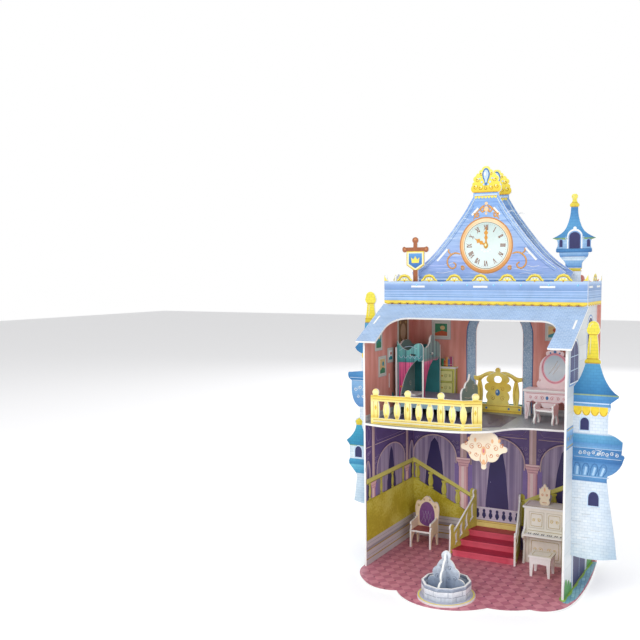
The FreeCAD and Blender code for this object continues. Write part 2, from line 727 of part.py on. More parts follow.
def railing_run_board(name, length, uprights, post_places, tab_places, bent):
    base = S.floor_top
    top = base + S.rail_top
    steps = [*tabbed((0.0, base), (length, base), tab_places, railing_tab, t), (length, top)]
    for place in reversed(post_places):
        steps += [(place + knob_half + 0.8, top), (place + knob_half, top + 0.8),
                  ("arc", (place, base + knob_top), (place - knob_half, top + 0.8)),
                  (place - knob_half - 0.8, top)]
    steps.append((0.0, top))
    openings = [railing_opening(a, *half_a, b, *half_b, base)
                for (a, half_a), (b, half_b) in zip(uprights, uprights[1:])]
    x, y = (fold_x, fold_y) if bent else (S.railing_left_x, S.railing_left_y)
    turn = S.railing_turn + (S.railing_fold if bent else 0.0)
    return board(name, "XZ", [outline((0.0, base), *steps), *openings], at=(f"{x:.6f}", f"{y:.6f}", "0"),
                 turn=about_z(turn), forwards=True, keep=False)


def front_balustrade():
    # one strip of board with a fold, so the two runs are joined
    posts = [S.post_first + number * S.post_pitch for number in range(3)]
    uprights = []
    for place in posts:
        uprights += [(place, post), (place + S.post_pitch / 3, baluster), (place + 2 * S.post_pitch / 3, baluster)]
    uprights[-1] = (S.railing_long, baluster)
    long_run = railing_run_board("railing_long_run", S.railing_long, uprights, posts, railing_tabs, False)
    short_run = railing_run_board("railing_short_run", S.railing_short, [(0.0, baluster), (short_post, post)],
                                  [short_post], [short_post], True)
    strip = doc.addObject("Part::Fuse", "front_balustrade")
    strip.Label = "front_balustrade"
    strip.Base, strip.Tool = long_run, short_run
    nodes.append(strip)


def window_balustrade():
    base = S.floor_top
    half = S.sill_rail_half
    tab = railing_tab / 2
    place = sill_tabs[1]
    steps = [(place - tab, base), (place - tab, base - t), (place + tab, base - t), (place + tab, base),
             (half, base), (half, base + 8.6), (23.4, base + 9.4),
             ("arc", (24.6, base + 20.0), (22.8, base + 34.6)),
             (half, base + 36.0), (half + 0.4, base + 40.6),
             ("curve", (22.0, base + 40.4), (15.0, base + 44.0), (8.0, base + 46.0), (2.6, base + 45.0)),
             ("arc", (2.9, base + 48.0), (0.0, base + 50.4))]
    shape = symmetric(0.0, (0.0, base), *steps)
    opening_right = outline(
        (13.2, base + 9.4), (18.6, base + 9.4),
        ("arc", (17.2, base + 21.0), (19.4, base + 35.4)),
        ("curve", (14.6, base + 39.6), (9.0, base + 41.0)),
        ("arc", (13.4, base + 37.0), (10.2, base + 33.0)),
        ("arc", (15.4, base + 28.0), (11.4, base + 23.4)),
        ("curve", (13.6, base + 17.0), (11.8, base + 13.4)))
    opening_left = outline(
        (-13.2, base + 9.4), (-18.6, base + 9.4),
        ("arc", (-17.2, base + 21.0), (-19.4, base + 35.4)),
        ("curve", (-14.6, base + 39.6), (-9.0, base + 41.0)),
        ("arc", (-13.4, base + 37.0), (-10.2, base + 33.0)),
        ("arc", (-15.4, base + 28.0), (-11.4, base + 23.4)),
        ("curve", (-13.6, base + 17.0), (-11.8, base + 13.4)))
    heart = outline((0.0, base + 33.4), ("arc", (4.6, base + 37.6), (0.0, base + 41.0)),
                    ("arc", (-4.6, base + 37.6), (0.0, base + 33.4)))
    board("window_balustrade", "XZ", [shape, opening_right, opening_left, heart],
          at=("0", "sizes.castle_depth / 2 - 2 * sizes.board", "0"))


# Stairs: two splayed sides with sloping rails, three treads and the risers under them

splay = math.radians(S.stair_splay)
step_places = [S.step_front + number * S.step_run for number in range(3)]


def stair_inner(y):
    return S.stair_back_half + (back_in - y) * math.tan(splay)


def stair_side(name, side):
    length = S.stair_length
    heel = t * math.tan(splay)      # keeps the outer corner clear of the back wall
    newel_low, newel_high = 37.0, 66.4
    rail_front, rail_back = 27.0, 58.0
    rail_deep = 4.6
    kerb_front, kerb_back = 11.0, 36.0

    def slope(place, at_front, at_back):
        return at_back + (at_front - at_back) * (place - 6.0) / (length - 13.0)

    shape = outline(
        (heel, t), (length - 9.0, t), (length - 8.4, t + 3.0), (length - 0.8, t + 3.0), (length, t),
        ("curve", (length - 0.6, 14.0), (length - 1.2, 29.0)),
        (length - 1.0, 31.0),
        ("arc", (length - 3.8, newel_low), (length - 6.6, 31.0)),
        (length - 7.0, slope(length - 7.0, rail_front, rail_back)),
        (6.0, rail_back),
        (6.0, 61.0), ("arc", (3.8, newel_high), (1.6, 61.0)), (heel, 60.0))
    openings = []
    uprights = [6.0, 17.0, 27.6, 38.0, length - 7.0]
    for near, far in zip(uprights, uprights[1:]):
        a, b = near + 1.7, far - 1.7
        openings.append(outline(
            (a, slope(a, kerb_front, kerb_back)), (b, slope(b, kerb_front, kerb_back)),
            ("arc", (b - 1.5, slope(b, 17.0, 46.0)), (b, slope(b, rail_front, rail_back) - rail_deep)),
            (a, slope(a, rail_front, rail_back) - rail_deep),
            ("arc", (a + 1.5, slope(a, 17.0, 46.0)), (a, slope(a, kerb_front, kerb_back)))))
    slots = []
    for number, y in enumerate(step_places):
        place = (back_in - (y + S.step_run / 2)) / math.cos(splay)
        slots.append(slot(place, t + (number + 1) * S.step_rise - t / 2, S.step_tab))
    x = side * S.stair_back_half
    board(name, "XZ", [shape, *openings, *slots], at=(f"{x:.6f}", "sizes.castle_depth / 2 - sizes.board", "0"),
          turn=about_z(-90 + side * S.stair_splay), forwards=side > 0)


def stair_treads():
    treads = []
    for number, y in enumerate(step_places):
        last = number == len(step_places) - 1
        rear = back_in if last else step_places[number + 1] + S.step_nosing + t
        centre = (y + S.step_run / 2)
        corners = [(-stair_inner(y), y), (stair_inner(y), y), (stair_inner(rear), rear), (-stair_inner(rear), rear)]
        middle = (centre - y) / math.cos(splay)
        shape = outline(
            corners[0], corners[1],
            *tabbed(corners[1], corners[2], [middle], S.step_tab, t), corners[3],
            *tabbed(corners[3], corners[0], [(rear - centre) / math.cos(splay)], S.step_tab, t))
        one = board(f"stair_tread_{number + 1}", "XY", [shape], keep=False,
                    at=("0", "0", f"sizes.board + {number + 1} * sizes.step_rise - sizes.board"))
        treads.append(one)
    group("stair_treads", treads)


def stair_risers():
    risers = []
    for number, y in enumerate(step_places):
        face = y + S.step_nosing
        half = stair_inner(face + t)
        low = t + number * S.step_rise
        high = low + S.step_rise - t
        one = board(f"stair_riser_{number + 1}", "XZ", [rectangle(-half, low, half, high)], keep=False,
                    at=("0", f"sizes.step_front + {number} * sizes.step_run + sizes.step_nosing + sizes.board", "0"))
        risers.append(one)
    group("stair_risers", risers)


# Chandelier: one board hung by a tab in the upper floor

def chandelier():
    tab = S.chandelier_tab / 2
    low = floor_low
    steps = about(S.chandelier_x, [
        (tab, S.floor_top), (tab, low), (8.0, low - 1.0),
        ("arc", (12.0, 151.0), (14.6, 147.6)),
        ("arc", (17.0, 142.0), (21.4, 139.6)),
        ("arc", (24.4, 136.2), (21.4, 133.6)),
        ("arc", (17.4, 131.8), (15.4, 128.2)),
        ("arc", (11.6, 124.0), (4.6, 123.6)),
        ("curve", (2.6, 120.6), (2.6, 117.4)),
        ("arc", (1.9, 115.6), (0.0, 115.0))])
    board("chandelier", "XZ", [symmetric(S.chandelier_x, (S.chandelier_x, S.floor_top), *steps)],
          at=("0", "sizes.chandelier_face + sizes.board", "0"))


# Fountain: round plate, ten-sided folded basin and two crossed statue boards

def fountain():
    x, y = S.fountain_x, S.fountain_y
    place = ("sizes.fountain_x", "sizes.fountain_y", "sizes.board")
    ring = [Part.Circle(Vec(0, 0, 0), Vec(0, 0, 1), S.fountain_disc)]
    board("fountain_plate", "XY", [ring], at=place)
    sides = 10

    def corners(radius):
        return [(radius * math.cos(2 * math.pi * (k + 0.5) / sides),
                 radius * math.sin(2 * math.pi * (k + 0.5) / sides)) for k in range(sides)]
    inner = S.basin_outer - t / math.cos(math.pi / sides)
    board("fountain_basin", "XY", [outline(*corners(S.basin_outer)), outline(*corners(inner))],
          at=("sizes.fountain_x", "sizes.fountain_y", "2 * sizes.board"), thick="sizes.basin_rise")
    low, top, half = 2 * t, S.statue_top, S.statue_half
    lap = low + 0.42 * (top - low)
    gap = t / 2 + air
    side_steps = [(half, low), (half, low + 8.0),
                  ("arc", (half - 1.4, low + 15.0), (half - 6.4, low + 16.6)),
                  ("arc", (half - 5.6, low + 23.4), (half - 9.4, low + 26.8)),
                  ("arc", (half - 12.0, low + 32.0), (half - 15.4, low + 35.0))]
    wide = symmetric(0.0, (0.0, lap), (gap, lap), (gap, low), *side_steps,
                     ("arc", (half - 15.6, top - 1.6), (0.0, top)))
    deep = symmetric(0.0, (0.0, low), *side_steps, ("arc", (half - 16.2, low + 38.6), (gap, top - 2.0)),
                     (gap, lap), (0.0, lap))
    board("fountain_statue_wide", "XZ", [wide],
          at=("sizes.fountain_x", "sizes.fountain_y + sizes.board / 2", "0"))
    board("fountain_statue_deep", "YZ", [deep],
          at=("sizes.fountain_x - sizes.board / 2", "sizes.fountain_y", "0"))


# Tufted chair of four boards

def chair():
    half, seat = S.chair_half, S.chair_seat_top
    face, depth = S.chair_back_face, S.chair_depth
    back = symmetric(
        0.0, (0.0, seat - 5.0), (half - 3.0, seat - 6.0), (half - 1.8, t), (half, t), (half + 0.4, seat),
        ("curve", (half + 1.0, 34.0), (half + 1.6, 44.0), (half + 0.4, 49.0)),
        ("arc", (half - 2.0, 51.4), (half - 4.6, 50.6)),
        ("curve", (5.4, 53.4), (3.0, 56.2), (0.0, 57.0)))
    board("chair_back", "XZ", [back], at=("sizes.chair_x", "sizes.chair_back_face + sizes.board", "0"))
    seat_half = half - t
    board("chair_seat", "XY", [rectangle(-seat_half, face - depth, seat_half, face)],
          at=("sizes.chair_x", "0", "sizes.chair_seat_top - sizes.board"))
    arm = outline(
        (face, seat - 7.0), (face, seat + 12.0),
        ("curve", (face - 6.0, seat + 10.4), (face - depth + 4.0, seat + 9.0)),
        ("arc", (face - depth + 0.4, seat + 7.6), (face - depth + 2.6, seat + 4.6)),
        (face - depth, seat), (face - depth, t), (face - depth + 3.0, t),
        ("curve", (face - depth + 5.0, seat - 9.0), (face - depth + 9.0, seat - 6.4), (face, seat - 7.0)))
    sides = [board(f"chair_side_{word}", "YZ", [arm], at=(f"sizes.chair_x {shift}", "0", "0"), keep=False)
             for word, shift in (("left", "- sizes.chair_half"), ("right", "+ sizes.chair_half - sizes.board"))]
    group("chair_sides", sides)


# Upright piano: two shaped ends, a front, a keyboard shelf and a lid

def piano():
    left, right = S.piano_left, S.piano_left + S.piano_width
    face, rear, shelf = S.piano_face, S.piano_back, S.piano_shelf_front
    top, key = t + S.piano_rise, S.piano_shelf_top
    end = outline(
        (shelf + 4.0, t), (rear, t), (rear, top), (face, top),
        ("curve", (face - 0.6, top - 12.0), (face - 2.6, key + 4.0)),
        ("arc", (shelf + 3.0, key + 2.0), (shelf, key)),
        (shelf, key - 4.0),
        ("curve", (shelf + 5.0, key - 8.0), (shelf + 6.2, 14.0), (shelf + 4.0, t)))
    ends = [board(f"piano_end_{word}", "YZ", [end], at=(place, "0", "0"), keep=False)
            for word, place in (("left", "sizes.piano_left"),
                                ("right", "sizes.piano_left + sizes.piano_width - sizes.board"))]
    group("piano_ends", ends)
    board("piano_front", "XZ", [rectangle(left + t, t, right - t, top)],
          at=("0", "sizes.piano_face + sizes.board", "0"))
    board("piano_keyboard_shelf", "XY", [rectangle(left + t, shelf, right - t, face)],
          at=("0", "0", "sizes.piano_shelf_top - sizes.board"))
    board("piano_lid", "XY", [rectangle(left - 1.5, face - 1.5, right + 1.5, rear + 1.0)],
          at=("0", "0", "sizes.board + sizes.piano_rise"))
    axis, low = left + 19.0, top + t
    steps = about(axis, [
        (4.2, low), ("arc", (5.6, low + 3.0), (4.4, low + 6.0)), (5.8, low + 8.0), (5.8, low + 17.4),
        (4.0, low + 17.0), (3.2, low + 19.6), (1.8, low + 19.2), (1.0, low + 22.2), (0.0, low + 22.6)])
    board("candelabra", "XZ", [symmetric(axis, (axis, low), *steps)],
          at=("0", "sizes.piano_face + 6 * sizes.board", "0"))


def stool(name, x, y, low, width, depth, rise, turn, curl):
    # a seat on two leg frames; curl bows the legs
    w, d = width / 2, depth / 2
    under = low + rise - t
    apron = under - 0.28 * rise
    frame = symmetric(
        0.0, (0.0, apron), (w - 4.2, apron - 0.6),
        ("curve", (w - 3.4 - curl, low + 0.4 * rise), (w - 2.8, low)),
        (w - 0.6, low), ("curve", (w - curl, low + 0.42 * rise), (w, under)), (0.0, under))
    turned = about_z(turn)
    legs = []
    for word, shift in (("front", -d + t), ("back", d)):
        spot = turned.multVec(Vec(0, shift, 0))
        legs.append(board(f"{name}_legs_{word}", "XZ", [frame], turn=turned, keep=False,
                          at=(f"{x} + {spot.x:.6f}", f"{y} + {spot.y:.6f}", "0")))
    group(f"{name}_legs", legs)
    board(f"{name}_seat", "XY", [rectangle(-w - 0.8, -d - 0.8, w + 0.8, d + 0.8)], at=(x, y, f"{under:.6f}"),
          turn=turned)


def vanity_stool():
    # two carved sides reach above the seat between them
    x, y, low = "sizes.vanity_stool_x", "sizes.vanity_stool_y", S.floor_top
    w, d, top = S.vanity_stool_width / 2, S.vanity_stool_depth / 2, S.floor_top + S.vanity_stool_rise
    seat = low + S.vanity_seat_rise
    side = symmetric(
        0.0, (0.0, seat - 5.0), (1.6, seat - 5.2),
        ("curve", (2.6, low + 7.4), (d - 2.2, low + 3.4), (d - 2.9, low)),
        (d - 0.2, low),
        ("curve", (d + 0.6, low + 5.0), (d - 1.4, low + 9.0), (d - 0.4, seat - 2.0), (d, seat + 1.4)),
        ("arc", (d - 0.4, top - 1.4), (2.6, top - 1.8)),
        ("arc", (1.6, top - 0.2), (0.0, top)))
    turned = about_z(S.vanity_stool_turn)
    sides = []
    for word, shift in (("left", -w), ("right", w - t)):
        spot = turned.multVec(Vec(shift, 0, 0))
        sides.append(board(f"vanity_stool_legs_{word}", "YZ", [side], turn=turned, keep=False,
                           at=(f"{x} + {spot.x:.6f}", f"{y} + {spot.y:.6f}", "0")))
    group("vanity_stool_legs", sides)
    board("vanity_stool_seat", "XY", [rectangle(-w + t, -d + 1.6, w - t, d - 1.6)],
          at=(x, y, f"{seat - t:.6f}"), turn=turned)


# Chest of drawers with a row of books on it

def chest():
    left, right = S.chest_left, S.chest_left + S.chest_width
    low = S.floor_top
    top = low + S.chest_rise
    shape = outline(
        (left, low), (left + 4.0, low), ("arc", (left + 6.0, low + 3.0), (left + 9.0, low + 3.4)),
        (right - 9.0, low + 3.4), ("arc", (right - 6.0, low + 3.0), (right - 4.0, low)),
        (right, low), (right, top), (left, top))
    board("chest_front", "XZ", [shape], at=("0", "sizes.chest_face + sizes.board", "0"))
    side = rectangle(S.chest_face + t, low, back_in, top)
    sides = [board(f"chest_side_{word}", "YZ", [side], at=(place, "0", "0"), keep=False)
             for word, place in (("left", "sizes.chest_left"),
                                 ("right", "sizes.chest_left + sizes.chest_width - sizes.board"))]
    group("chest_sides", sides)
    board("chest_top", "XY", [rectangle(left - 1.0, S.chest_face - 1.0, right + 1.0, back_in)],
          at=("0", "0", "sizes.floor_top + sizes.chest_rise"))
    shelf = top + t
    book_line = [(0.0, 8.6), (3.0, 8.6), (3.0, 6.8), (5.2, 6.8), (5.2, 10.4), (8.0, 10.4), (8.0, 8.2),
                 (10.4, 8.2), (10.4, 11.0), (13.6, 11.0), (13.6, 0.0)]
    start = left + 12.6
    board("books", "XZ", [outline((start, shelf), *[(start + x, shelf + z) for x, z in book_line])],
          at=("0", "sizes.chest_face + 3 * sizes.board", "0"))


# Canopy bed

def bed():
    low, soft = S.floor_top, S.mattress_top
    left, right, near, far = S.bed_left, S.bed_right, S.bed_front, S.bed_back
    post_left, corner = left + t, S.canopy_right
    canopy = S.canopy_low
    frontal = outline(
        (post_left, low), (post_left + 2.6, low), (post_left + 4.2, low + 24.0),
        ("curve", (post_left + 8.0, low + 38.0), (post_left + 15.0, low + 52.0), (corner - 7.0, canopy - 1.0)),
        ("arc", (corner - 3.4, canopy - 3.0), (corner, canopy)),
        (corner, canopy + 13.0),
        ("curve", (corner - 4.0, canopy + 17.0), (corner - 9.0, canopy + 15.6), (corner - 14.0, canopy + 11.6)),
        ("curve", (corner - 19.0, canopy + 9.0), (corner - 25.0, canopy + 12.0), (post_left, canopy + 19.0)))
    board("canopy_front", "XZ", [frontal, slot(corner - 12.0, canopy + 4.0, 6.4)],
          at=("0", "sizes.bed_front + sizes.board", "0"))
    inner_near, inner_far = near + t, far - t
    end = outline(
        (inner_near, soft), (inner_near + 3.0, soft),
        ("curve", (inner_near + 5.4, soft + 14.0), (inner_near + 13.0, soft + 29.0), (inner_near + 27.0, canopy - 3.0)),
        ("arc", (inner_near + 33.0, canopy - 4.6), (inner_far, canopy - 1.0)),
        (inner_far, canopy + 13.0),
        ("curve", (far - 9.0, canopy + 16.4), (far - 16.0, canopy + 17.6)),
        ("arc", (far - 23.0, canopy + 24.4), (far - 28.0, canopy + 17.6)),
        ("curve", (near + 12.0, canopy + 12.0), (inner_near, canopy + 13.0)))
    board("canopy_end", "YZ", [end, slot((near + far) / 2, canopy + 4.0, 6.4)],
          at=("sizes.canopy_right - sizes.board", "0", "0"))
    board("canopy_back", "XZ", [rectangle(post_left, soft, corner, canopy + 12.0)],
          at=("0", "sizes.bed_back", "0"))
    head = symmetric(
        (near + far) / 2, ((near + far) / 2, low), (far, low), (far, canopy + 12.0),
        ("curve", (far - 8.0, canopy + 13.0), (far - 15.0, canopy + 17.0), ((near + far) / 2, canopy + 18.0)))
    board("bed_headboard", "YZ", [head], at=("sizes.bed_left", "0", "0"))
    foot_high = low + 27.0
    foot = symmetric(
        (near + far) / 2, ((near + far) / 2, low + 4.0), (far - 4.0, low + 4.0), (far - 3.4, low), (far, low),
        (far, foot_high),
        ("arc", (far - 4.6, foot_high + 5.0), (far - 9.6, foot_high + 4.6)),
        ("arc", (far - 13.0, foot_high + 9.6), (far - 17.4, foot_high + 10.6)),
        ("arc", (far - 21.6, foot_high + 13.4), ((near + far) / 2, foot_high + 18.6)))
    board("bed_footboard", "YZ", [foot], at=("sizes.bed_right - sizes.board", "0", "0"))
    board("mattress", "XY", [rectangle(post_left, near + t, right - t, far - t)],
          at=("0", "0", "sizes.mattress_top - sizes.board"))
    side = rectangle(post_left, soft - 12.0, right - t, soft - t)
    sides = [board(f"bed_side_{word}", "XZ", [side], at=("0", place, "0"), keep=False)
             for word, place in (("front", "sizes.bed_front + 2 * sizes.board"),
                                 ("back", "sizes.bed_back - sizes.board"))]
    group("bed_sides", sides)
    pillow = outline((post_left + 4.0, near + 9.0), ("arc", (post_left + 11.0, near + 8.0), (post_left + 18.0, near + 9.0)),
                     ("arc", (post_left + 19.0, near + 19.0), (post_left + 18.0, near + 29.0)),
                     ("arc", (post_left + 11.0, near + 30.0), (post_left + 4.0, near + 29.0)),
                     ("arc", (post_left + 3.0, near + 19.0), (post_left + 4.0, near + 9.0)))
    board("pillow", "XY", [pillow], at=("0", "0", "sizes.mattress_top"))


# Dressing table with an oval mirror

def vanity():
    low = S.floor_top
    top = low + S.vanity_rise
    half, axis = S.vanity_half, S.vanity_x
    face, rear = S.vanity_face, S.vanity_back
    steps = about(axis, [
        ("arc", (4.2, top - 16.4), (6.4, top - 12.6)),
        ("curve", (11.0, top - 12.4), (15.6, top - 9.6), (18.6, top - 12.4)),
        ("curve", (19.6, low + 8.0), (20.8, low)),
        (24.0, low), ("curve", (23.4, low + 8.0), (half + 0.6, top - 9.0), (half, top)), (0.0, top)])
    board("vanity_front", "XZ", [symmetric(axis, (axis, top - 17.0), *steps)],
          at=("0", "sizes.vanity_face + sizes.board", "0"))
    side = outline(
        (rear, low), (rear, top), (face + t, top), (face + t, top - 13.0),
        ("arc", (face + 8.0, top - 10.8), (rear - 5.6, top - 13.6)),
        ("arc", (rear - 3.8, low + 8.0), (rear - 2.6, low)))
    sides = [board(f"vanity_side_{word}", "YZ", [side], at=(place, "0", "0"), keep=False)
             for word, place in (("left", "sizes.vanity_x - sizes.vanity_half"),
                                 ("right", "sizes.vanity_x + sizes.vanity_half - sizes.board"))]
    group("vanity_sides", sides)
    board("vanity_top", "XY", [rectangle(axis - half - 1.0, face - 1.5, axis + half + 1.0, rear + 1.0)],
          at=("0", "0", "sizes.floor_top + sizes.vanity_rise"))
    shelf = top + t
    mirror_axis = axis + 3.4
    mirror = symmetric(
        mirror_axis, (mirror_axis, shelf), *about(mirror_axis, [
            (17.4, shelf), ("arc", (19.6, shelf + 4.0), (17.6, shelf + 8.0)),
            ("curve", (17.0, shelf + 16.0), (16.6, shelf + 24.0), (12.6, shelf + 32.0), (8.8, shelf + 34.6)),
            ("arc", (9.4, shelf + 38.6), (5.6, shelf + 39.6)),
            ("arc", (2.6, shelf + 42.4), (0.0, shelf + 41.6))]))
    board("vanity_mirror", "XZ", [mirror], at=("0", "sizes.vanity_back - sizes.board", "0"))


base_plate()
side_wall("left_wall", "-sizes.castle_width / 2", left_floor_tabs, S.left_tower_y)
side_wall("right_wall", "sizes.castle_width / 2 - sizes.board", right_floor_tabs, S.right_tower_y)
back_wall()
upper_floor()
roof_front()
roof_deck()
parapets()
gables()
shield_banner()
roof_turret()
right_tower()
left_tower()
front_balustrade()
window_balustrade()
stair_side("stair_side_left", -1)
stair_side("stair_side_right", 1)
stair_treads()
stair_risers()
chandelier()
fountain()
chair()
piano()
stool("music_stool", "sizes.music_stool_x", "sizes.music_stool_y", t, S.music_stool_width,
      S.music_stool_depth, S.music_stool_top - t, 0.0, 0.4)
chest()
bed()
vanity()
vanity_stool()

doc.recompute()
for item in doc.Objects:
    if "Invalid" in item.State or "Error" in item.State:
        raise RuntimeError(f"{item.Label} failed: {item.State}")
os.makedirs("parts", exist_ok=True)
faulty = [node.Label for node in nodes if node.Shape.isNull() or not node.Shape.isValid()]
if faulty:
    raise RuntimeError(f"no valid shape: {faulty}")
for node in nodes:
    node.Shape.exportStep(f"parts/{node.Label}.step")
print(len(nodes), "sub-parts written")
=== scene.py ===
import math

import bpy
from mathutils import Matrix, Vector


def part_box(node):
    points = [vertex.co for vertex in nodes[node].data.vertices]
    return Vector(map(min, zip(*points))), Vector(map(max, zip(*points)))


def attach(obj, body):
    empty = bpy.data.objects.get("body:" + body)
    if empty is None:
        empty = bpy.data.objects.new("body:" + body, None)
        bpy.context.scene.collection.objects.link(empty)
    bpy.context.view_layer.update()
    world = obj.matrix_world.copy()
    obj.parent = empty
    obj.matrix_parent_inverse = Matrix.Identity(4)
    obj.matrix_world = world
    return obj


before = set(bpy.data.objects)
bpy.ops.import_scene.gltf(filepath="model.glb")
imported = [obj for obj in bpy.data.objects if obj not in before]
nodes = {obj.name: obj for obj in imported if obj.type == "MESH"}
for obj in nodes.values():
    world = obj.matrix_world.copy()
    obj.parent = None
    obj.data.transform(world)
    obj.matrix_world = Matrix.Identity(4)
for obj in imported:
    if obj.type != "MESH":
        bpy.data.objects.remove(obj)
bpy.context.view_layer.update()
mm = 0.001
body = "root"
print("frame loaded,", len(nodes), "boards")


def linear(code):
    # an sRGB hex value as the linear colour that shaders take
    parts = [int(code[i:i + 2], 16) / 255 for i in (1, 3, 5)]
    return [c / 12.92 if c <= 0.04045 else ((c + 0.055) / 1.055) ** 2.4 for c in parts] + [1.0]


def addNode(mat, kind, inputs=None, **settings):
    node = mat.node_tree.nodes.new(kind)
    for key, value in settings.items():
        setattr(node, key, value)
    for socket, value in (inputs or {}).items():
        if isinstance(value, bpy.types.NodeSocket):
            mat.node_tree.links.new(value, node.inputs[socket])
        else:
            node.inputs[socket].default_value = value
    return node


def clearSelection():
    for item in bpy.context.selected_objects:
        item.select_set(False)


def fillRamp(node, stops, interpolation="LINEAR"):
    ramp = node.color_ramp
    ramp.interpolation = interpolation
    while len(ramp.elements) > 1:
        ramp.elements.remove(ramp.elements[-1])
    first = True
    for place, code in sorted(stops, key=lambda stop: stop[0]):
        if first:
            element = ramp.elements[0]
            element.position = place
            first = False
        else:
            element = ramp.elements.new(place)
        element.color = linear(code)


# Finishes

paper = {"roughness": 0.46, "specular": 0.42, "bump": 0.05, "fibre": 0.9}     # fibre in mm


def newFinish(name):
    mat = bpy.data.materials.new(name)
    mat.use_nodes = True
    return mat, mat.node_tree.nodes["Principled BSDF"]


def place(mat):
    # Object coordinates in millimetres
    where = addNode(mat, "ShaderNodeTexCoord")
    scaled = addNode(mat, "ShaderNodeVectorMath", {0: where.outputs["Object"], 1: (1000, 1000, 1000)},
                     operation="MULTIPLY")
    return scaled.outputs[0]


def turnedPlace(mat, turn=(0, 0, 0), shift=(0, 0, 0), scale=(1, 1, 1)):
    moved = addNode(mat, "ShaderNodeMapping", {"Vector": place(mat), "Rotation": turn, "Location": shift,
                                               "Scale": scale})
    return moved.outputs[0]


def finishPaper(mat, shader, colour, mottle=0.10, grain=9.0, rough=None):
    # coated printed paper: soft washes in the ink, a faint fibre bump and a satin sheen
    wash = addNode(mat, "ShaderNodeTexNoise", {"Vector": place(mat), "Scale": 1 / grain, "Detail": 4.0,
                                               "Roughness": 0.62})
    level = addNode(mat, "ShaderNodeMapRange", {"Value": wash.outputs["Fac"], "From Min": 0.3, "From Max": 0.7,
                                                "To Min": 1 - mottle, "To Max": 1 + mottle * 0.6})
    tinted = addNode(mat, "ShaderNodeMix", {0: 1.0, 6: colour, 7: level.outputs[0]}, data_type="RGBA",
                     blend_type="MULTIPLY")
    fibre = addNode(mat, "ShaderNodeTexNoise", {"Vector": place(mat), "Scale": 1 / paper["fibre"], "Detail": 2.0})
    bump = addNode(mat, "ShaderNodeBump", {"Strength": paper["bump"], "Distance": 0.0002,
                                           "Height": fibre.outputs["Fac"]})
    mat.node_tree.links.new(tinted.outputs[2], shader.inputs["Base Color"])
    mat.node_tree.links.new(bump.outputs["Normal"], shader.inputs["Normal"])
    shader.inputs["Roughness"].default_value = rough or paper["roughness"]
    shader.inputs["Specular IOR Level"].default_value = paper["specular"]
    return mat


def ink(name, code, mottle=0.08, grain=7.0, rough=None):
    # one printed colour, with the small unevenness of offset ink
    if name in bpy.data.materials:
        return bpy.data.materials[name]
    mat, shader = newFinish(name)
    return finishPaper(mat, shader, linear(code), mottle, grain, rough)


def rampAlong(mat, axis, stops, coords=None):
    # stops in mm along one axis of the model
    low, high = min(s[0] for s in stops), max(s[0] for s in stops)
    parts = addNode(mat, "ShaderNodeSeparateXYZ", {0: coords or place(mat)})
    share = addNode(mat, "ShaderNodeMapRange", {"Value": parts.outputs[axis], "From Min": low, "From Max": high})
    ramp = addNode(mat, "ShaderNodeValToRGB", {"Fac": share.outputs[0]})
    fillRamp(ramp, [((spot - low) / (high - low), code) for spot, code in stops])
    return ramp.outputs["Color"]


def banded(name, axis, stops, shading=None, mottle=0.08, grain=7.0):
    # print whose colour changes along one axis, such as mouldings; shading is light across it
    mat, shader = newFinish(name)
    colour = rampAlong(mat, axis, stops)
    if shading:
        colour = addNode(mat, "ShaderNodeMix", {0: 1.0, 6: colour, 7: rampAlong(mat, *shading)},
                data_type="RGBA", blend_type="MULTIPLY").outputs[2]
    return finishPaper(mat, shader, colour, mottle, grain)


# foam core: cut edge of extruded polystyrene board, matt and nearly white with a fine cell texture
core, coreShader = newFinish("cut foam core edge")
finishPaper(core, coreShader, linear("#f4f5f3"), 0.04, 1.2, 0.75)


def dress(node, faces):
    # faces: (direction, finish); every other face of the board is its cut edge
    piece = nodes[node]
    piece.data.materials.clear()
    piece.data.materials.append(core)
    for _, finish in faces:
        piece.data.materials.append(finish)
    for polygon in piece.data.polygons:
        polygon.material_index = 0
        for number, (direction, _) in enumerate(faces, start=1):
            if polygon.normal.dot(Vector(direction).normalized()) > 0.97:
                polygon.material_index = number
                break
    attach(piece, body)


# Flat print laid on a board

layerLift = 0.07        # mm between two layers of print
inkDepth = 0.06
boards = {}             # name: (matrix from board mm to metres)


def setBoard(name, origin, across, up, normal):
    turn = Matrix((across, up, normal)).transposed().to_4x4()
    boards[name] = Matrix.Translation(Vector(origin) * mm) @ turn @ Matrix.Scale(mm, 4)


def settle(piece, where, layer, finish):
    # from flat work in mm to its place on the board, closed and facing outwards
    piece.data.materials.clear()
    piece.data.materials.append(finish)
    lift = Matrix.Translation((0, 0, inkDepth / 2 + layerLift * layer))
    piece.data.transform(boards[where] @ lift)
    clearSelection()
    bpy.context.view_layer.objects.active = piece
    piece.select_set(True)
    bpy.ops.object.mode_set(mode="EDIT")
    bpy.ops.mesh.select_all(action="SELECT")
    bpy.ops.mesh.remove_doubles(threshold=1e-7)
    bpy.ops.mesh.normals_make_consistent(inside=False)
    bpy.ops.object.mode_set(mode="OBJECT")
    piece.select_set(False)
    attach(piece, body)
    return piece


def curveFor(name):
    data = bpy.data.curves.new(name, "CURVE")
    piece = bpy.data.objects.new(name, data)
    bpy.context.collection.objects.link(piece)
    return piece, data


def toMesh(piece):
    clearSelection()
    bpy.context.view_layer.objects.active = piece
    piece.select_set(True)
    bpy.ops.object.convert(target="MESH")
    return bpy.context.view_layer.objects.active


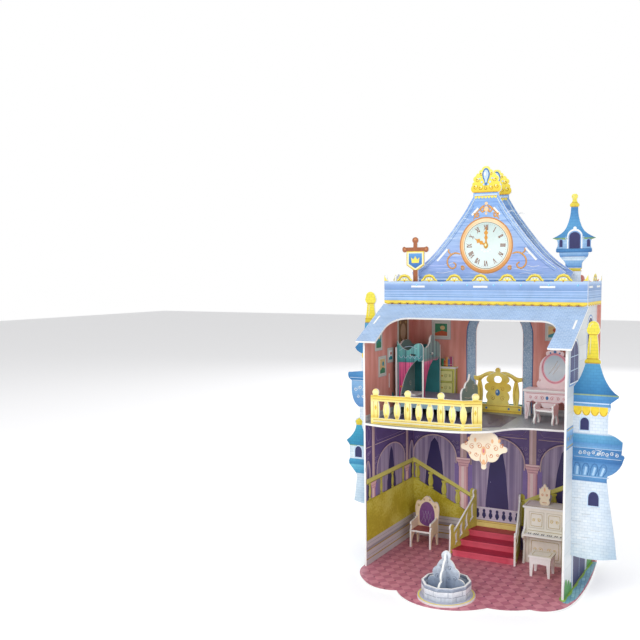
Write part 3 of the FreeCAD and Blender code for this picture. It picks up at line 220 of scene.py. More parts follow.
def addSpline(data, points, smooth, closed, radius=1.0):
    if smooth:
        spline = data.splines.new("BEZIER")
        spline.bezier_points.add(len(points) - 1)
        for spot, knot in zip(points, spline.bezier_points):
            knot.co = (spot[0], spot[1], 0)
            knot.handle_left_type = knot.handle_right_type = "AUTO"
            knot.radius = spot[2] if len(spot) > 2 else radius
    else:
        spline = data.splines.new("POLY")
        spline.points.add(len(points) - 1)
        for spot, knot in zip(points, spline.points):
            knot.co = (spot[0], spot[1], 0, 1)
            knot.radius = spot[2] if len(spot) > 2 else radius
    spline.use_cyclic_u = closed


def inlay(name, where, layer, finish, shapes, fineness=6):
    # filled shapes; one inside another is a hole. ("smooth", points) or plain points
    piece, data = curveFor(name)
    data.dimensions = "2D"
    data.fill_mode = "BOTH"
    data.resolution_u = fineness
    data.extrude = inkDepth / 2
    for shape in shapes:
        if shape[0] == "smooth":
            addSpline(data, shape[1], True, True)
        else:
            addSpline(data, shape, False, True)
    return settle(toMesh(piece), where, layer, finish)


def drawn(name, where, layer, finish, lines, width=0.9, fineness=5):
    # inked lines, flattened; a third number in a point makes the line thicker or thinner there
    piece, data = curveFor(name)
    data.dimensions = "3D"
    data.bevel_depth = width / 2
    data.bevel_resolution = 0
    data.use_fill_caps = True
    data.resolution_u = fineness
    for line in lines:
        closed = line[0] == "closed"
        addSpline(data, line[1] if closed else line, True, closed)
    piece = toMesh(piece)
    piece.data.transform(Matrix.Scale(inkDepth / width * 1.6, 4, (0, 0, 1)))
    return settle(piece, where, layer, finish)


def box(x0, y0, x1, y1):
    return [(x0, y0), (x1, y0), (x1, y1), (x0, y1)]


def disc(x, y, rx, ry=None, count=28):
    ry = ry or rx
    return [(x + rx * math.cos(2 * math.pi * k / count), y + ry * math.sin(2 * math.pi * k / count))
            for k in range(count)]


def arch(x0, x1, low, spring, rise=None, count=12):
    # a door or window shape; rise is the height of its head
    middle, half = (x0 + x1) / 2, (x1 - x0) / 2
    rise = rise or abs(half)
    head = [(middle + half * math.cos(math.pi * k / count), spring + rise * math.sin(math.pi * k / count))
            for k in range(count + 1)]
    return [(x0, low), (x1, low), *head]


def scroll(x, y, size, turn=0.0, flip=1, turns=1.35, thick=1.0):
    # a volute: a line that curls in on itself, with a thin tail
    points = []
    steps = 11
    for k in range(steps + 1):
        share = k / steps
        angle = turn + flip * 2 * math.pi * turns * share
        reach = size * (0.95 - 0.80 * share)
        points.append((x + reach * math.cos(angle), y + reach * math.sin(angle), thick * (0.55 + 0.75 * share)))
    return points


def mirrored(axis, shapes):
    out = []
    for shape in shapes:
        tag = shape[0] if isinstance(shape[0], str) else None
        points = shape[1] if tag else shape
        turned = [(2 * axis - p[0], *p[1:]) for p in points]
        out.append((tag, turned) if tag else turned)
    return out


boardLow, boardHigh = {}, {}
for label in nodes:
    low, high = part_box(label)
    boardLow[label], boardHigh[label] = low / mm, high / mm

wallOut = boardHigh["right_wall"].x
wallIn = wallOut - 2
lapOut = boardHigh["back_wall"].x
backIn, backOut = boardLow["back_wall"].y, boardHigh["back_wall"].y
front = boardLow["left_wall"].y
floorTop = boardHigh["upper_floor"].z
deckTop = boardHigh["roof_deck"].z
parapetFace = boardLow["parapet_front"].y
parapetFoot = boardLow["parapet_front"].z
eave = (boardLow["roof_front"].y, 241.5)
slope = Vector((parapetFace - eave[0], parapetFoot - eave[1])).normalized()
toRight, toBack, toTop = Vector((1, 0, 0)), Vector((0, 1, 0)), Vector((0, 0, 1))
roofUp, roofOut = Vector((0, slope.x, slope.y)), Vector((0, -slope.y, slope.x))
eavePoint = Vector((0, -67.0, eave[1]))

setBoard("ground", (0, 0, 2), toRight, toBack, toTop)
setBoard("upper", (0, 0, floorTop), toRight, toBack, toTop)
setBoard("backIn", (0, backIn, 0), toRight, toTop, -toBack)
setBoard("backOut", (0, backOut, 0), toRight, toTop, toBack)
setBoard("leftIn", (-wallIn, 0, 0), toBack, toTop, toRight)
setBoard("leftOut", (-wallOut, 0, 0), toBack, toTop, -toRight)
setBoard("rightIn", (wallIn, 0, 0), toBack, toTop, -toRight)
setBoard("rightOut", (wallOut, 0, 0), toBack, toTop, toRight)
setBoard("roof", eavePoint, toRight, roofUp, roofOut)
setBoard("parapetFront", (0, parapetFace, 0), toRight, toTop, -toBack)
setBoard("parapetLeft", (-lapOut, 0, 0), toBack, toTop, -toRight)
setBoard("parapetRight", (lapOut, 0, 0), toBack, toTop, toRight)
for label in ("gable_front", "gable_back", "shield_banner", "roof_turret", "right_tower", "left_tower",
              "chandelier", "window_balustrade", "piano_front", "chair_back", "canopy_front", "chest_front",
              "vanity_front", "vanity_mirror", "candelabra", "books", "canopy_back"):
    setBoard(label, (0, boardLow[label].y, 0), toRight, toTop, -toBack)
    setBoard(label + "_rear", (0, boardHigh[label].y, 0), toRight, toTop, toBack)
for label in ("canopy_end", "bed_footboard", "bed_headboard"):
    setBoard(label, (boardHigh[label].x, 0, 0), toBack, toTop, toRight)
    setBoard(label + "_left", (boardLow[label].x, 0, 0), toBack, toTop, -toRight)
print("boards measured")


# Camera, light and floor

view = {"place": (0.29159, -0.78911, 0.31065), "turn": 0.45396, "down": 0.10736, "roll": -0.00427,
        "focus": 809.79, "middle": (400.0, 360.0), "frame": 640.0}

camera = bpy.data.objects.new("camera", bpy.data.cameras.new("camera"))
bpy.context.collection.objects.link(camera)
look = Vector((-math.sin(view["turn"]) * math.cos(view["down"]), math.cos(view["turn"]) * math.cos(view["down"]),
               -math.sin(view["down"])))
right = Vector((math.cos(view["turn"]), math.sin(view["turn"]), 0))
up = right.cross(look)
rightRolled = right * math.cos(view["roll"]) + up * math.sin(view["roll"])
upRolled = up * math.cos(view["roll"]) - right * math.sin(view["roll"])
camera.matrix_world = Matrix.Translation(view["place"]) @ Matrix((rightRolled, upRolled, -look)).transposed().to_4x4()
camera.data.sensor_width = 36.0
camera.data.lens = view["focus"] / view["frame"] * 36.0
camera.data.shift_x = (view["frame"] / 2 - view["middle"][0]) / view["frame"]
camera.data.shift_y = (view["middle"][1] - view["frame"] / 2) / view["frame"]
camera.data.clip_start, camera.data.clip_end = 0.01, 20.0
bpy.context.scene.camera = camera
bpy.context.scene.view_settings.view_transform = "Standard"

lamps = {
    "key": {"place": (-0.55, -1.5, 1.25), "size": 1.1, "power": 12.8},
    "fill": {"place": (1.3, -1.2, 0.7), "size": 1.2, "power": 6.8},
    "top": {"place": (0.1, 0.1, 1.9), "size": 1.4, "power": 7.6},
    "behind": {"place": (-0.3, 1.5, 0.9), "size": 1.2, "power": 7.0},
}
for label, facts in lamps.items():
    lamp = bpy.data.lights.new(label, "AREA")
    lamp.energy, lamp.size = facts["power"], facts["size"]
    stand = bpy.data.objects.new(label, lamp)
    bpy.context.collection.objects.link(stand)
    stand.location = facts["place"]
    stand.rotation_euler = (Vector((0, 0, 0.2)) - Vector(facts["place"])).to_track_quat("-Z", "Y").to_euler()

world = bpy.data.worlds.new("studio")
bpy.context.scene.world = world
world.use_nodes = True
backdrop = world.node_tree.nodes["Background"]
seen = addNode(world, "ShaderNodeLightPath")
shine = addNode(world, "ShaderNodeMath", {0: seen.outputs["Is Camera Ray"], 1: seen.outputs["Is Glossy Ray"]},
                operation="MAXIMUM")
# plain room light on the boards, white where the camera or a gloss sees it
strength = addNode(world, "ShaderNodeMapRange", {"Value": shine.outputs[0], "To Min": 0.56, "To Max": 1.0})
world.node_tree.links.new(strength.outputs[0], backdrop.inputs["Strength"])
backdrop.inputs["Color"].default_value = (1, 1, 1, 1)

clearSelection()
bpy.ops.mesh.primitive_plane_add(size=9.0, location=(0, 0, -0.0002))
floor = bpy.context.active_object
floor.name = "studio_floor"
floorPaper, floorShader = newFinish("white studio paper")
floorShader.inputs["Base Color"].default_value = linear("#f6f6f8")
floorShader.inputs["Roughness"].default_value = 0.9
floorShader.inputs["Emission Color"].default_value = linear("#ffffff")
floorShader.inputs["Emission Strength"].default_value = 0.16
floor.data.materials.append(floorPaper)
print("camera, lamps and floor ready")


# Finishes of the big boards

def stone(name, a="#e9eef3", b="#dde6ee", joint="#cfdae4", turn=(math.pi / 2, 0, 0), tint=None):
    # pale ashlar print, blocks 15 by 7 mm
    mat, shader = newFinish(name)
    colour = addNode(mat, "ShaderNodeTexBrick", {
            "Vector": turnedPlace(mat, turn), "Color1": linear(a), "Color2": linear(b),
            "Mortar": linear(joint), "Scale": 1.0, "Mortar Size": 0.28, "Mortar Smooth": 0.4, "Brick Width": 15.0,
            "Row Height": 7.0}, offset=0.5).outputs["Color"]
    if tint:
        colour = addNode(mat, "ShaderNodeMix", {0: 1.0, 6: colour, 7: rampAlong(mat, *tint)},
                data_type="RGBA", blend_type="MULTIPLY").outputs[2]
    return finishPaper(mat, shader, colour, 0.07, 16.0)


def shingles(name, a, b, joint, width, row, turn, line=0.3, tint=None, mottle=0.12):
    # overlapping roof scales in staggered rows
    mat, shader = newFinish(name)
    colour = addNode(mat, "ShaderNodeTexBrick", {
            "Vector": turnedPlace(mat, turn), "Color1": linear(a), "Color2": linear(b),
            "Mortar": linear(joint), "Scale": 1.0, "Mortar Size": line, "Mortar Smooth": 0.4, "Brick Width": width,
            "Row Height": row}, offset=0.5).outputs["Color"]
    if tint:
        colour = addNode(mat, "ShaderNodeMix", {0: 1.0, 6: colour, 7: rampAlong(mat, *tint)},
                data_type="RGBA", blend_type="MULTIPLY").outputs[2]
    return finishPaper(mat, shader, colour, mottle, 18.0)


def diamonds():
    # floor tiles set on edge, two rose tones, with a small dark tile at each corner
    mat, shader = newFinish("printed rose floor tiles")
    size = 8.4
    turned = turnedPlace(mat, turn=(0, 0, math.pi / 4), scale=(1 / size, 1 / size, 1))
    check = addNode(mat, "ShaderNodeTexChecker", {"Vector": turned, "Scale": 1.0, "Color1": linear("#cf8794"),
                                                  "Color2": linear("#b96d80")})
    spots = addNode(mat, "ShaderNodeTexVoronoi", {"Vector": turned, "Scale": 0.5, "Randomness": 0.0},
                    voronoi_dimensions="2D")
    dot = addNode(mat, "ShaderNodeMath", {0: spots.outputs["Distance"], 1: 0.055}, operation="LESS_THAN")
    colour = addNode(mat, "ShaderNodeMix", {0: dot.outputs[0], 6: check.outputs["Color"], 7: linear("#6b4256")},
            data_type="RGBA").outputs[2]
    return finishPaper(mat, shader, colour, 0.10, 14.0)


def night():
    # deep evening sky with scattered stars
    mat, shader = newFinish("printed night sky")
    sky = rampAlong(mat, 2, [(30, "#3c3563"), (75, "#39316a"), (110, "#2e2660"), (150, "#241d4b")])
    spots = addNode(mat, "ShaderNodeTexVoronoi", {"Vector": turnedPlace(mat, scale=(0.13, 0.13, 0.13)),
                                                  "Scale": 1.0, "Randomness": 1.0})
    star = addNode(mat, "ShaderNodeMath", {0: spots.outputs["Distance"], 1: 0.055}, operation="LESS_THAN")
    return finishPaper(mat, shader, addNode(mat, "ShaderNodeMix", {0: star.outputs[0], 6: sky, 7: linear("#b9b6e6")},
            data_type="RGBA").outputs[2], 0.08, 20.0)


def drape(name, pale, mid, dark, fold=3.4, axis=0):
    # hanging cloth as printed: soft upright folds
    mat, shader = newFinish(name)
    scale = [0.02, 0.02, 0.006]
    scale[axis] = 1 / fold
    folds = addNode(mat, "ShaderNodeTexNoise", {"Vector": turnedPlace(mat, scale=scale), "Scale": 1.0,
                                                "Detail": 2.5, "Roughness": 0.55})
    ramp = addNode(mat, "ShaderNodeValToRGB", {"Fac": folds.outputs["Fac"]})
    fillRamp(ramp, [(0.34, dark), (0.5, mid), (0.66, pale)])
    return finishPaper(mat, shader, ramp.outputs["Color"], 0.05, 12.0)


def glitter():
    # window frame: blue print full of fine bright and dark specks
    mat, shader = newFinish("printed blue glitter")
    specks = addNode(mat, "ShaderNodeTexNoise", {"Vector": place(mat), "Scale": 0.85, "Detail": 3.0,
                                                 "Roughness": 0.75})
    ramp = addNode(mat, "ShaderNodeValToRGB", {"Fac": specks.outputs["Fac"]})
    fillRamp(ramp, [(0.34, "#7fa4c8"), (0.48, "#9cbcd9"), (0.58, "#b4cee4"), (0.68, "#dcebf5")])
    return finishPaper(mat, shader, ramp.outputs["Color"], 0.06, 12.0)


def wallpaper():
    # rose wallpaper with faint upright streaks and small specks
    mat, shader = newFinish("printed rose wallpaper")
    streak = addNode(mat, "ShaderNodeTexNoise", {"Vector": turnedPlace(mat, scale=(0.16, 0.16, 0.015)),
                                                 "Scale": 1.0, "Detail": 3.0})
    ramp = addNode(mat, "ShaderNodeValToRGB", {"Fac": streak.outputs["Fac"]})
    fillRamp(ramp, [(0.36, "#d98d80"), (0.52, "#e39a8e"), (0.66, "#eaaa9f")])
    return finishPaper(mat, shader, ramp.outputs["Color"], 0.06, 25.0)


def cobbles():
    # path beside the wall: blue-grey setts
    mat, shader = newFinish("printed blue setts")
    colour = addNode(mat, "ShaderNodeTexBrick", {
            "Vector": turnedPlace(mat, turn=(0, 0, 1.4)), "Color1": linear("#8fc0cf"), "Color2": linear("#6ea3bb"),
            "Mortar": linear("#5b8aa5"), "Scale": 1.0, "Mortar Size": 0.35, "Mortar Smooth": 0.4, "Brick Width": 9.0,
            "Row Height": 3.6}, offset=0.5).outputs["Color"]
    return finishPaper(mat, shader, colour, 0.14, 6.0)


rosePaper = wallpaper()
palestone = stone("printed pale stone", turn=(math.pi / 2, 0, 0))
sideStone = stone("printed pale side stone", "#e4e8ea", "#dadfe2", "#cdd4d8", turn=(math.pi / 2, 0, math.pi / 2))
plainBack = ink("uncoated white board back", "#eef0f1", 0.04)
# grey floor boards, darker towards the back wall: painted shade deeper in the upper room
greyFloorShadedToBack = banded("printed grey boards", 1, [(-70, "#a2a8ad"), (-20, "#98a0a6"), (20, "#8d959c"), (60, "#7d858d")],
                   mottle=0.07, grain=20.0)
lilacCeiling = ink("printed lilac ceiling", "#b9a8c8", 0.06, 20.0)
creamCeiling = ink("printed cream ceiling", "#e4d6cf", 0.06, 20.0)
roofScales = shingles("printed roof scales", "#9fbbdf", "#93b1d7", "#c3d6ec", 4.6, 2.3, (0.0, 0.0, 0.0), 0.22)
# grey underside of the roof, darker than the other board backs: painted shade under the roof
shadeUnderRoof = ink("printed grey roof lining", "#c9c3c4", 0.06, 20.0)
parapetTint = [(276.5, "#f0cf3d"), (280.2, "#f5dc55"), (281.0, "#e9c53c"), (281.4, "#8fb3de"), (284.4, "#b4cdee"),
               (285.0, "#7fa4d3"), (287.2, "#8fb0dd"), (287.8, "#a9c5ea"), (291.2, "#89aad8"), (291.9, "#b9d0ef"),
               (293.4, "#7e9fd0"), (298.0, "#93b1df"), (298.6, "#aac4ea"), (301.0, "#b8d0ef"), (301.6, "#86a9d6"),
               (302.2, "#f3dc5a"), (309.0, "#fbe96f")]


dress("base_plate", [(toTop, diamonds()), (-toTop, plainBack)])
dress("left_wall", [(toRight, rosePaper), (-toRight, sideStone)])
dress("right_wall", [(-toRight, rosePaper), (toRight, sideStone)])
dress("back_wall", [(-toBack, rosePaper), (toBack, palestone)])
dress("upper_floor", [(toTop, greyFloorShadedToBack), (-toTop, lilacCeiling)])
dress("roof_deck", [(toTop, ink("printed grey deck", "#c6d2e2", 0.06, 16.0)), (-toTop, creamCeiling)])
dress("roof_front", [(roofOut, roofScales), (-roofOut, shadeUnderRoof)])
mouldings = banded("printed blue mouldings", 2, parapetTint, mottle=0.10, grain=16.0)
dress("parapet_front", [(-toBack, mouldings), (toBack, plainBack)])
dress("parapet_left", [(-toRight, mouldings), (toRight, plainBack)])
dress("parapet_right", [(toRight, mouldings), (-toRight, plainBack)])
dress("gable_low_spacers", [])
dress("gable_high_spacers", [])
print("shell finished")

# Inks shared by the prints

gold = ink("printed gold", "#e8c93f", 0.10, 5.0)
yellow = ink("printed lemon yellow", "#f7e463", 0.10, 5.0)
paleYellow = ink("printed cream yellow", "#faf3bd", 0.05, 5.0)
amber = ink("printed amber line", "#c79426", 0.06, 5.0)
peach = ink("printed peach gold", "#e6a75f", 0.08, 6.0)
palePeach = ink("printed pale peach", "#f1cfa4", 0.06, 6.0)
paleBlue = ink("printed pale blue", "#c4dbf3", 0.06, 8.0)
midBlue = ink("printed mid blue", "#7fa3d2", 0.08, 8.0)
deepBlue = ink("printed deep blue", "#4a7fb8", 0.08, 8.0)
whiteInk = ink("printed white", "#f3f6f8", 0.03, 6.0)
greyInk = ink("printed silver grey", "#b9bec4", 0.06, 8.0)
navy = ink("printed navy glass", "#2f3163", 0.12, 5.0)
cream = ink("printed cream", "#ecdcd2", 0.05, 6.0)
rose = ink("printed rose line", "#d9818c", 0.06, 6.0)
teal = ink("printed teal", "#7fc0bd", 0.09, 10.0)
limeInk = ink("printed yellow green", "#d8d05c", 0.08, 9.0)
limeShade = ink("printed olive line", "#a39a35", 0.08, 9.0)
lilacLine = ink("printed lilac line", "#a796bd", 0.05, 8.0)

press = {}


def lay(where, layer, finish, *shapes):
    # shapes of one finish on one layer are printed together, so they don't overlap
    press.setdefault(("fill", where, layer, finish.name, 0), (finish, []))[1].extend(shapes)


def pen(where, layer, finish, width, *lines):
    press.setdefault(("pen", where, layer, finish.name, width), (finish, []))[1].extend(lines)


def printAll(area):
    for number, ((kind, where, layer, _, width), (finish, shapes)) in enumerate(press.items(), start=1):
        label = f"{area}_{kind}_{number}"
        if kind == "fill":
            inlay(label, where, layer, finish, shapes)
        else:
            drawn(label, where, layer, finish, shapes, width)
    print("printed", area, len(press))
    press.clear()


def straight(*points):
    # a polyline for pen work: double knots keep its corners
    out = []
    for a, b in zip(points, points[1:]):
        for share in (0.02, 0.98):
            out.append((a[0] + (b[0] - a[0]) * share, a[1] + (b[1] - a[1]) * share))
    return out


def both(axis, *shapes):
    return [*shapes, *mirrored(axis, shapes)]


# Gables with the clock

clock = {"x": 0.5, "z": 338.4, "radius": 29.2, "numerals": 18.4, "figure": 5.0}
gableShares = [(1.0, 0.113), (0.924, 0.148), (0.812, 0.202), (0.712, 0.262), (0.601, 0.343), (0.471, 0.449),
               (0.360, 0.549), (0.271, 0.631), (0.212, 0.695), (0.164, 0.751)]
gableEdge = [(x * 84.0, 297 + z * 122.0) for x, z in gableShares]


def crownFinish(name):
    # planks below, and above the collar the yellow of the crown
    mat, shader = newFinish(name)
    grain = addNode(mat, "ShaderNodeTexNoise", {"Vector": turnedPlace(mat, scale=(0.03, 1, 0.36)), "Scale": 1.0,
                                                "Detail": 5.0, "Roughness": 0.62, "Distortion": 0.8})
    ramp = addNode(mat, "ShaderNodeValToRGB", {"Fac": grain.outputs["Fac"]})
    fillRamp(ramp, [(0.30, "#7f9fd4"), (0.44, "#9cb8e2"), (0.58, "#a9c3ea"), (0.70, "#cfdff6")])
    planked = addNode(mat, "ShaderNodeMix", {0: 1.0, 6: ramp.outputs["Color"],
            7: rampAlong(mat, 2, [ (297, "#d5ecfb"), (302, "#c3defa"), (304.6, "#eef6ff"), (318, "#ece9fb"), (345,
            "#ffffff"), (375, "#ddeefc"), (392, "#c8e4fa")])},
            data_type="RGBA", blend_type="MULTIPLY").outputs[2]
    crown = rampAlong(mat, 2, [(392.4, "#dfae2c"), (394.5, "#f0cf3c"), (400, "#f7e04c"), (419, "#fbec72")])
    parts = addNode(mat, "ShaderNodeSeparateXYZ", {0: place(mat)})
    above = addNode(mat, "ShaderNodeMath", {0: parts.outputs[2], 1: 392.6}, operation="GREATER_THAN")
    return finishPaper(mat, shader, addNode(mat, "ShaderNodeMix", {0: above.outputs[0], 6: planked, 7: crown},
            data_type="RGBA").outputs[2], 0.07, 22.0)


gableFinish = crownFinish("printed blue planks and crown")
dress("gable_front", [(-toBack, gableFinish), (toBack, plainBack)])
dress("gable_back", [(-toBack, gableFinish), (toBack, gableFinish)])


def gablePrints(where, withClock):
    slope = [(x - 2.0, z - 1.5) for x, z in gableEdge[1:]]
    inner = [(x - 4.4, z - 3.0) for x, z in gableEdge[1:-1]]
    pen(where, 0, paleBlue, 1.5, *both(0, slope))
    pen(where, 0, midBlue, 0.7, *both(0, inner))
    lay(where, 0, paleBlue, box(-77, 303.0, 77, 304.3), box(-12.6, 389.2, 12.6, 391.2))
    lay(where, 0, deepBlue, box(-77.5, 301.6, 77.5, 302.2))
    lay(where, 0, midBlue, box(-78, 305.2, 78, 305.7))
    # collar under the crown: a scalloped yellow edging
    lay(where, 1, yellow, *[arch(-12.4 + 3.54 * k, -9.2 + 3.54 * k, 388.9, 388.9, -2.4) for k in range(7)])
    pen(where, 1, amber, 0.5, straight((-12.6, 389.1), (12.6, 389.1)), straight((-13.0, 392.7), (13.0, 392.7)))
    lobes = [(11.8, 398.4, 2.8), (6.2, 397.4, 2.6), (9.6, 405.6, 2.6), (5.4, 411.6, 2.2)]
    for x, z, r in lobes:
        pen(where, 1, amber, 0.6, *both(0, scroll(x, z, r, 2.4, 1, 1.1)))
        lay(where, 1, paleYellow, *both(0, disc(x - 0.9, z + 1.0, r * 0.34, count=12)))
    pen(where, 1, amber, 0.6, scroll(0, 396.8, 2.5, 1.2, 1, 1.1))
    # the drop-shaped jewel and its pearls
    drop = [(0, 399.5), (2.0, 404.0), (3.9, 409.0), (3.6, 413.6), (0, 417.2), (-3.6, 413.6), (-3.9, 409.0),
            (-2.0, 404.0)]
    lay(where, 2, deepBlue, ("smooth", drop))
    lay(where, 3, paleBlue, ("smooth", [(x * 0.66, 409.4 + (z - 409.0) * 0.74) for x, z in drop]))
    lay(where, 4, whiteInk, disc(-0.9, 411.4, 0.9, 2.0, 14))
    lay(where, 2, paleBlue, *both(0, disc(4.6, 403.2, 1.1, count=12), disc(2.4, 400.6, 1.0, count=12),
                                  disc(6.6, 406.8, 0.9, count=12)))
    # loose waves of the wood print
    waves = []
    for k, (x, z, long) in enumerate([(36, 309, 26), (30, 313.5, 22), (44, 317, 14), (-56, 311, 20), (-46, 320, 14),
                                      (22, 372, 9), (-26, 366, 8), (38, 330, 12)]):
        waves.append([(x + long * s, z + 0.9 * math.sin(5 * s + k), 0.4 + 0.6 * math.sin(math.pi * s))
                      for s in (0, 0.2, 0.4, 0.6, 0.8, 1.0)])
    pen(where, 0, whiteInk, 0.5, *waves)
    for k in range(-2, 3):
        c = 28.75 * k + 14.4
        pen(where, 1, gold, 0.9, scroll(c - 2.2, 299.6, 1.9, 0.4, 1, 1.0), scroll(c + 2.4, 299.8, 1.5, 2.6, -1, 1.0))
    if not withClock:
        return
    x, z, r = clock["x"], clock["z"], clock["radius"]
    lay(where, 1, ink("printed clock ring shade", "#c98947", 0.05), disc(x, z, r, count=64), disc(x, z, r - 1.3,
            count=64))
    lay(where, 1, banded("printed clock ring", 2, [(310, "#d98f48"), (330, "#eab274"), (352, "#f2c38b"),
                                                   (367, "#f8ddb4")]),
        disc(x, z, r - 1.35, count=64), disc(x, z, r - 4.0, count=64))
    lay(where, 1, ink("printed clock ring shine", "#fbe3c0", 0.03), disc(x, z, r - 4.05, count=64), disc(x, z,
            r - 4.9, count=64))
    lay(where, 1, ink("printed dial rim", "#8f8a6e", 0.05), disc(x, z, r - 4.95, count=64), disc(x, z, r - 5.5,
            count=64))
    dial = banded("printed clock dial", 2, [(314, "#e6f3f0"), (338, "#dfeeea"), (360, "#c6d9d5")], mottle=0.04)
    lay(where, 1, dial, disc(x, z, r - 5.55, count=64))
    figures = ["XII", "I", "II", "III", "IV", "V", "VI", "VII", "VIII", "IX", "X", "XI"]
    numerals = []
    strokes = {"I": [((0, -0.5), (0, 0.5))], "V": [((-0.27, 0.5), (0, -0.5)), ((0.27, 0.5), (0, -0.5))],
               "X": [((-0.26, 0.5), (0.26, -0.5)), ((0.26, 0.5), (-0.26, -0.5))]}
    wide = {"I": 0.26, "V": 0.62, "X": 0.62}
    tall = clock["figure"]
    for hour, figure in enumerate(figures):
        turn = -math.pi / 6 * hour
        along = -sum(wide[f] for f in figure) / 2
        for letter in figure:
            middle = along + wide[letter] / 2
            along += wide[letter]
            marks = list(strokes[letter])
            ends = [-0.13, 0.13] if letter == "I" else [-0.33, -0.13, 0.13, 0.33]
            marks += [((a, 0.5), (b, 0.5)) for a, b in zip(ends[::2], ends[1::2])]
            if letter != "V":
                marks += [((a, -0.5), (b, -0.5)) for a, b in zip(ends[::2], ends[1::2])]
            for number, mark in enumerate(marks):
                thick = 1.0 if number == 0 else 0.55
                path = []
                for a, b in mark:
                    u, v = (middle + a) * tall * 0.86, b * tall + clock["numerals"]
                    path.append((x + u * math.cos(turn) - v * math.sin(turn),
                                 z + u * math.sin(turn) + v * math.cos(turn), thick))
                numerals.append(path)
    pen(where, 2, ink("printed clock numerals", "#9b6a55", 0.04), 0.82, *numerals)
    minutes = [[(x + a * math.sin(k * math.pi / 30), z + a * math.cos(k * math.pi / 30)) for a in (21.6, 22.3)]
               for k in range(60)]
    pen(where, 2, ink("printed minute ring", "#b08a72", 0.04), 0.3, *minutes)
    hand = ink("printed clock hands", "#dc9a3c", 0.06)
    for hour, reach, wideHand in ((0, 19.5, 1.9), (10, 14.5, 2.2)):
        angle = math.pi / 2 - hour * math.pi / 6
        leaf = [(0, 0.55), (0.30, 0.5), (0.40, 1.0), (0.55, 0.5), (0.66, 1.15), (0.80, 0.35), (1.0, 0.05)]
        line = [(s * reach, w * wideHand) for s, w in leaf]
        ring = line + [(s, -w) for s, w in reversed(line)]
        lay(where, 3 + (hour > 0), hand, ("smooth", [(x + s * math.cos(angle) - w * math.sin(angle),
                                                      z + s * math.sin(angle) + w * math.cos(angle)) for s,
                                                      w in ring]))
    lay(where, 5, amber, disc(x, z, 2.4, 3.2, 20))
    lay(where, 6, paleYellow, disc(x - 0.4, z + 0.6, 1.1, 1.5, 14))
    lay(where, 4, whiteInk, *[disc(x + 4.6 * math.cos(a), z - 3.0 + 3.4 * math.sin(a), 1.4, 1.0, 12)
                              for a in (-2.7, -1.9, -1.1, -0.4)])
    # scrollwork above and beside the clock
    pen(where, 1, peach, 1.7, *both(x, scroll(x + 3.6, 374.6, 3.6, 3.3, -1, 1.25),
            scroll(x + 9.6, 369.4, 2.9, 2.4, -1, 1.2),
                                    [(x + 1.0, 379.6, 0.6), (x + 4.0, 378.4), (x + 8.4, 374.4, 0.8), (x + 12.4,
                                    371.0, 0.5)],
                                    [(x + 14.0, 365.4, 0.5), (x + 12.4, 368.6), (x + 13.6, 371.6, 0.7)]))
    lay(where, 2, palePeach, disc(x, 381.4, 1.7, count=16), disc(x, 375.6, 2.2, 2.9, 18), disc(x, 371.0, 1.2,
            count=14))
    pen(where, 1, peach, 1.7, *both(x, [(x + 28.6, 329.8, 0.8), (x + 34.0, 331.0), (x + 39.4, 328.8), (x + 43.2,
            323.4),
                                        (x + 41.2, 316.6), (x + 36.0, 315.2), (x + 33.6, 318.6), (x + 36.4, 321.2,
                                        0.7)],
                                    scroll(x + 26.0, 315.2, 2.6, 0.6, 1, 1.3), [(x + 38.4, 329.4, 0.6),
                                    (x + 42.0, 332.8), (x + 41.4, 335.4, 0.5)]))


gablePrints("gable_front", True)
gablePrints("gable_back", False)
gablePrints("gable_back_rear", False)
printAll("gable")

# Parapets, banner and turret

swags = {"pitch": 28.75, "half": 9.8, "line": 301.2, "rise": 7.5}


def swagPrint(where, c, layer=0):
    z = swags["line"]
    pen(where, layer, yellow, 2.0, [(c - 9.0, z + 0.9), (c - 7.0, z + 2.2), (c - 4.4, z + 5.6), (c - 1.6, z + 6.4),
                                    (c + 1.6, z + 6.4), (c + 4.4, z + 5.6), (c + 7.0, z + 2.2), (c + 9.0, z + 0.9)])
    pen(where, layer + 2, amber, 0.45, [(c - 7.6, z + 0.8), (c - 5.6, z + 1.8), (c - 3.4, z + 4.4), (c, z + 5.2),
                                        (c + 3.4, z + 4.4), (c + 5.6, z + 1.8), (c + 7.6, z + 0.8)])
    lay(where, layer + 1, paleYellow, disc(c - 3.0, z + 2.6, 0.95, count=12), disc(c, z + 3.0, 1.05, count=12),
        disc(c + 3.0, z + 2.6, 0.95, count=12))
    lay(where, layer + 1, amber, disc(c, z + 0.6, 0.8, 1.0, 12))
    pen(where, layer, paleBlue, 1.2, [(c - 5.0, z + 1.4), (c - 2.6, z + 3.6), (c + 2.6, z + 3.6), (c + 5.0, z + 1.4)])


def parapetPrints(where, low, high, middle, count):
    centres = [middle + swags["pitch"] * k for k in range(-count, count + 1)]
    for c in centres:
        swagPrint(where, c)
        if c + swags["pitch"] / 2 < high - 2:
            lay(where, 0, ink("printed sky bead", "#6fc0e8", 0.04), disc(c + swags["pitch"] / 2, 297.8, 1.15,
                    count=16))
            lay(where, 1, whiteInk, disc(c + swags["pitch"] / 2 - 0.3, 298.1, 0.4, count=10))
    lay(where, 0, paleBlue, box(low + 1, 299.9, high - 1, 300.4), box(low + 1, 286.3, high - 1, 286.8))
    lay(where, 0, deepBlue, box(low + 1, 292.4, high - 1, 292.8), box(low + 1, 287.3, high - 1, 287.6))
    steps = int((high - low) / 9.2)
    pitch = (high - low) / steps
    pen(where, 0, amber, 0.55, *[[(low + pitch * (k + s), 277.6 + 1.5 * abs(2 * s - 1) ** 1.6) for s in (0.04, 0.25,
            0.5, 0.75, 0.96)]
                                 for k in range(steps)])


parapetPrints("parapetFront", -lapOut, lapOut, 0.0, 3)
parapetPrints("parapetLeft", -1.0, 58.0, 28.5, 0)
parapetPrints("parapetRight", -1.0, 58.0, 28.5, 0)
printAll("parapet")

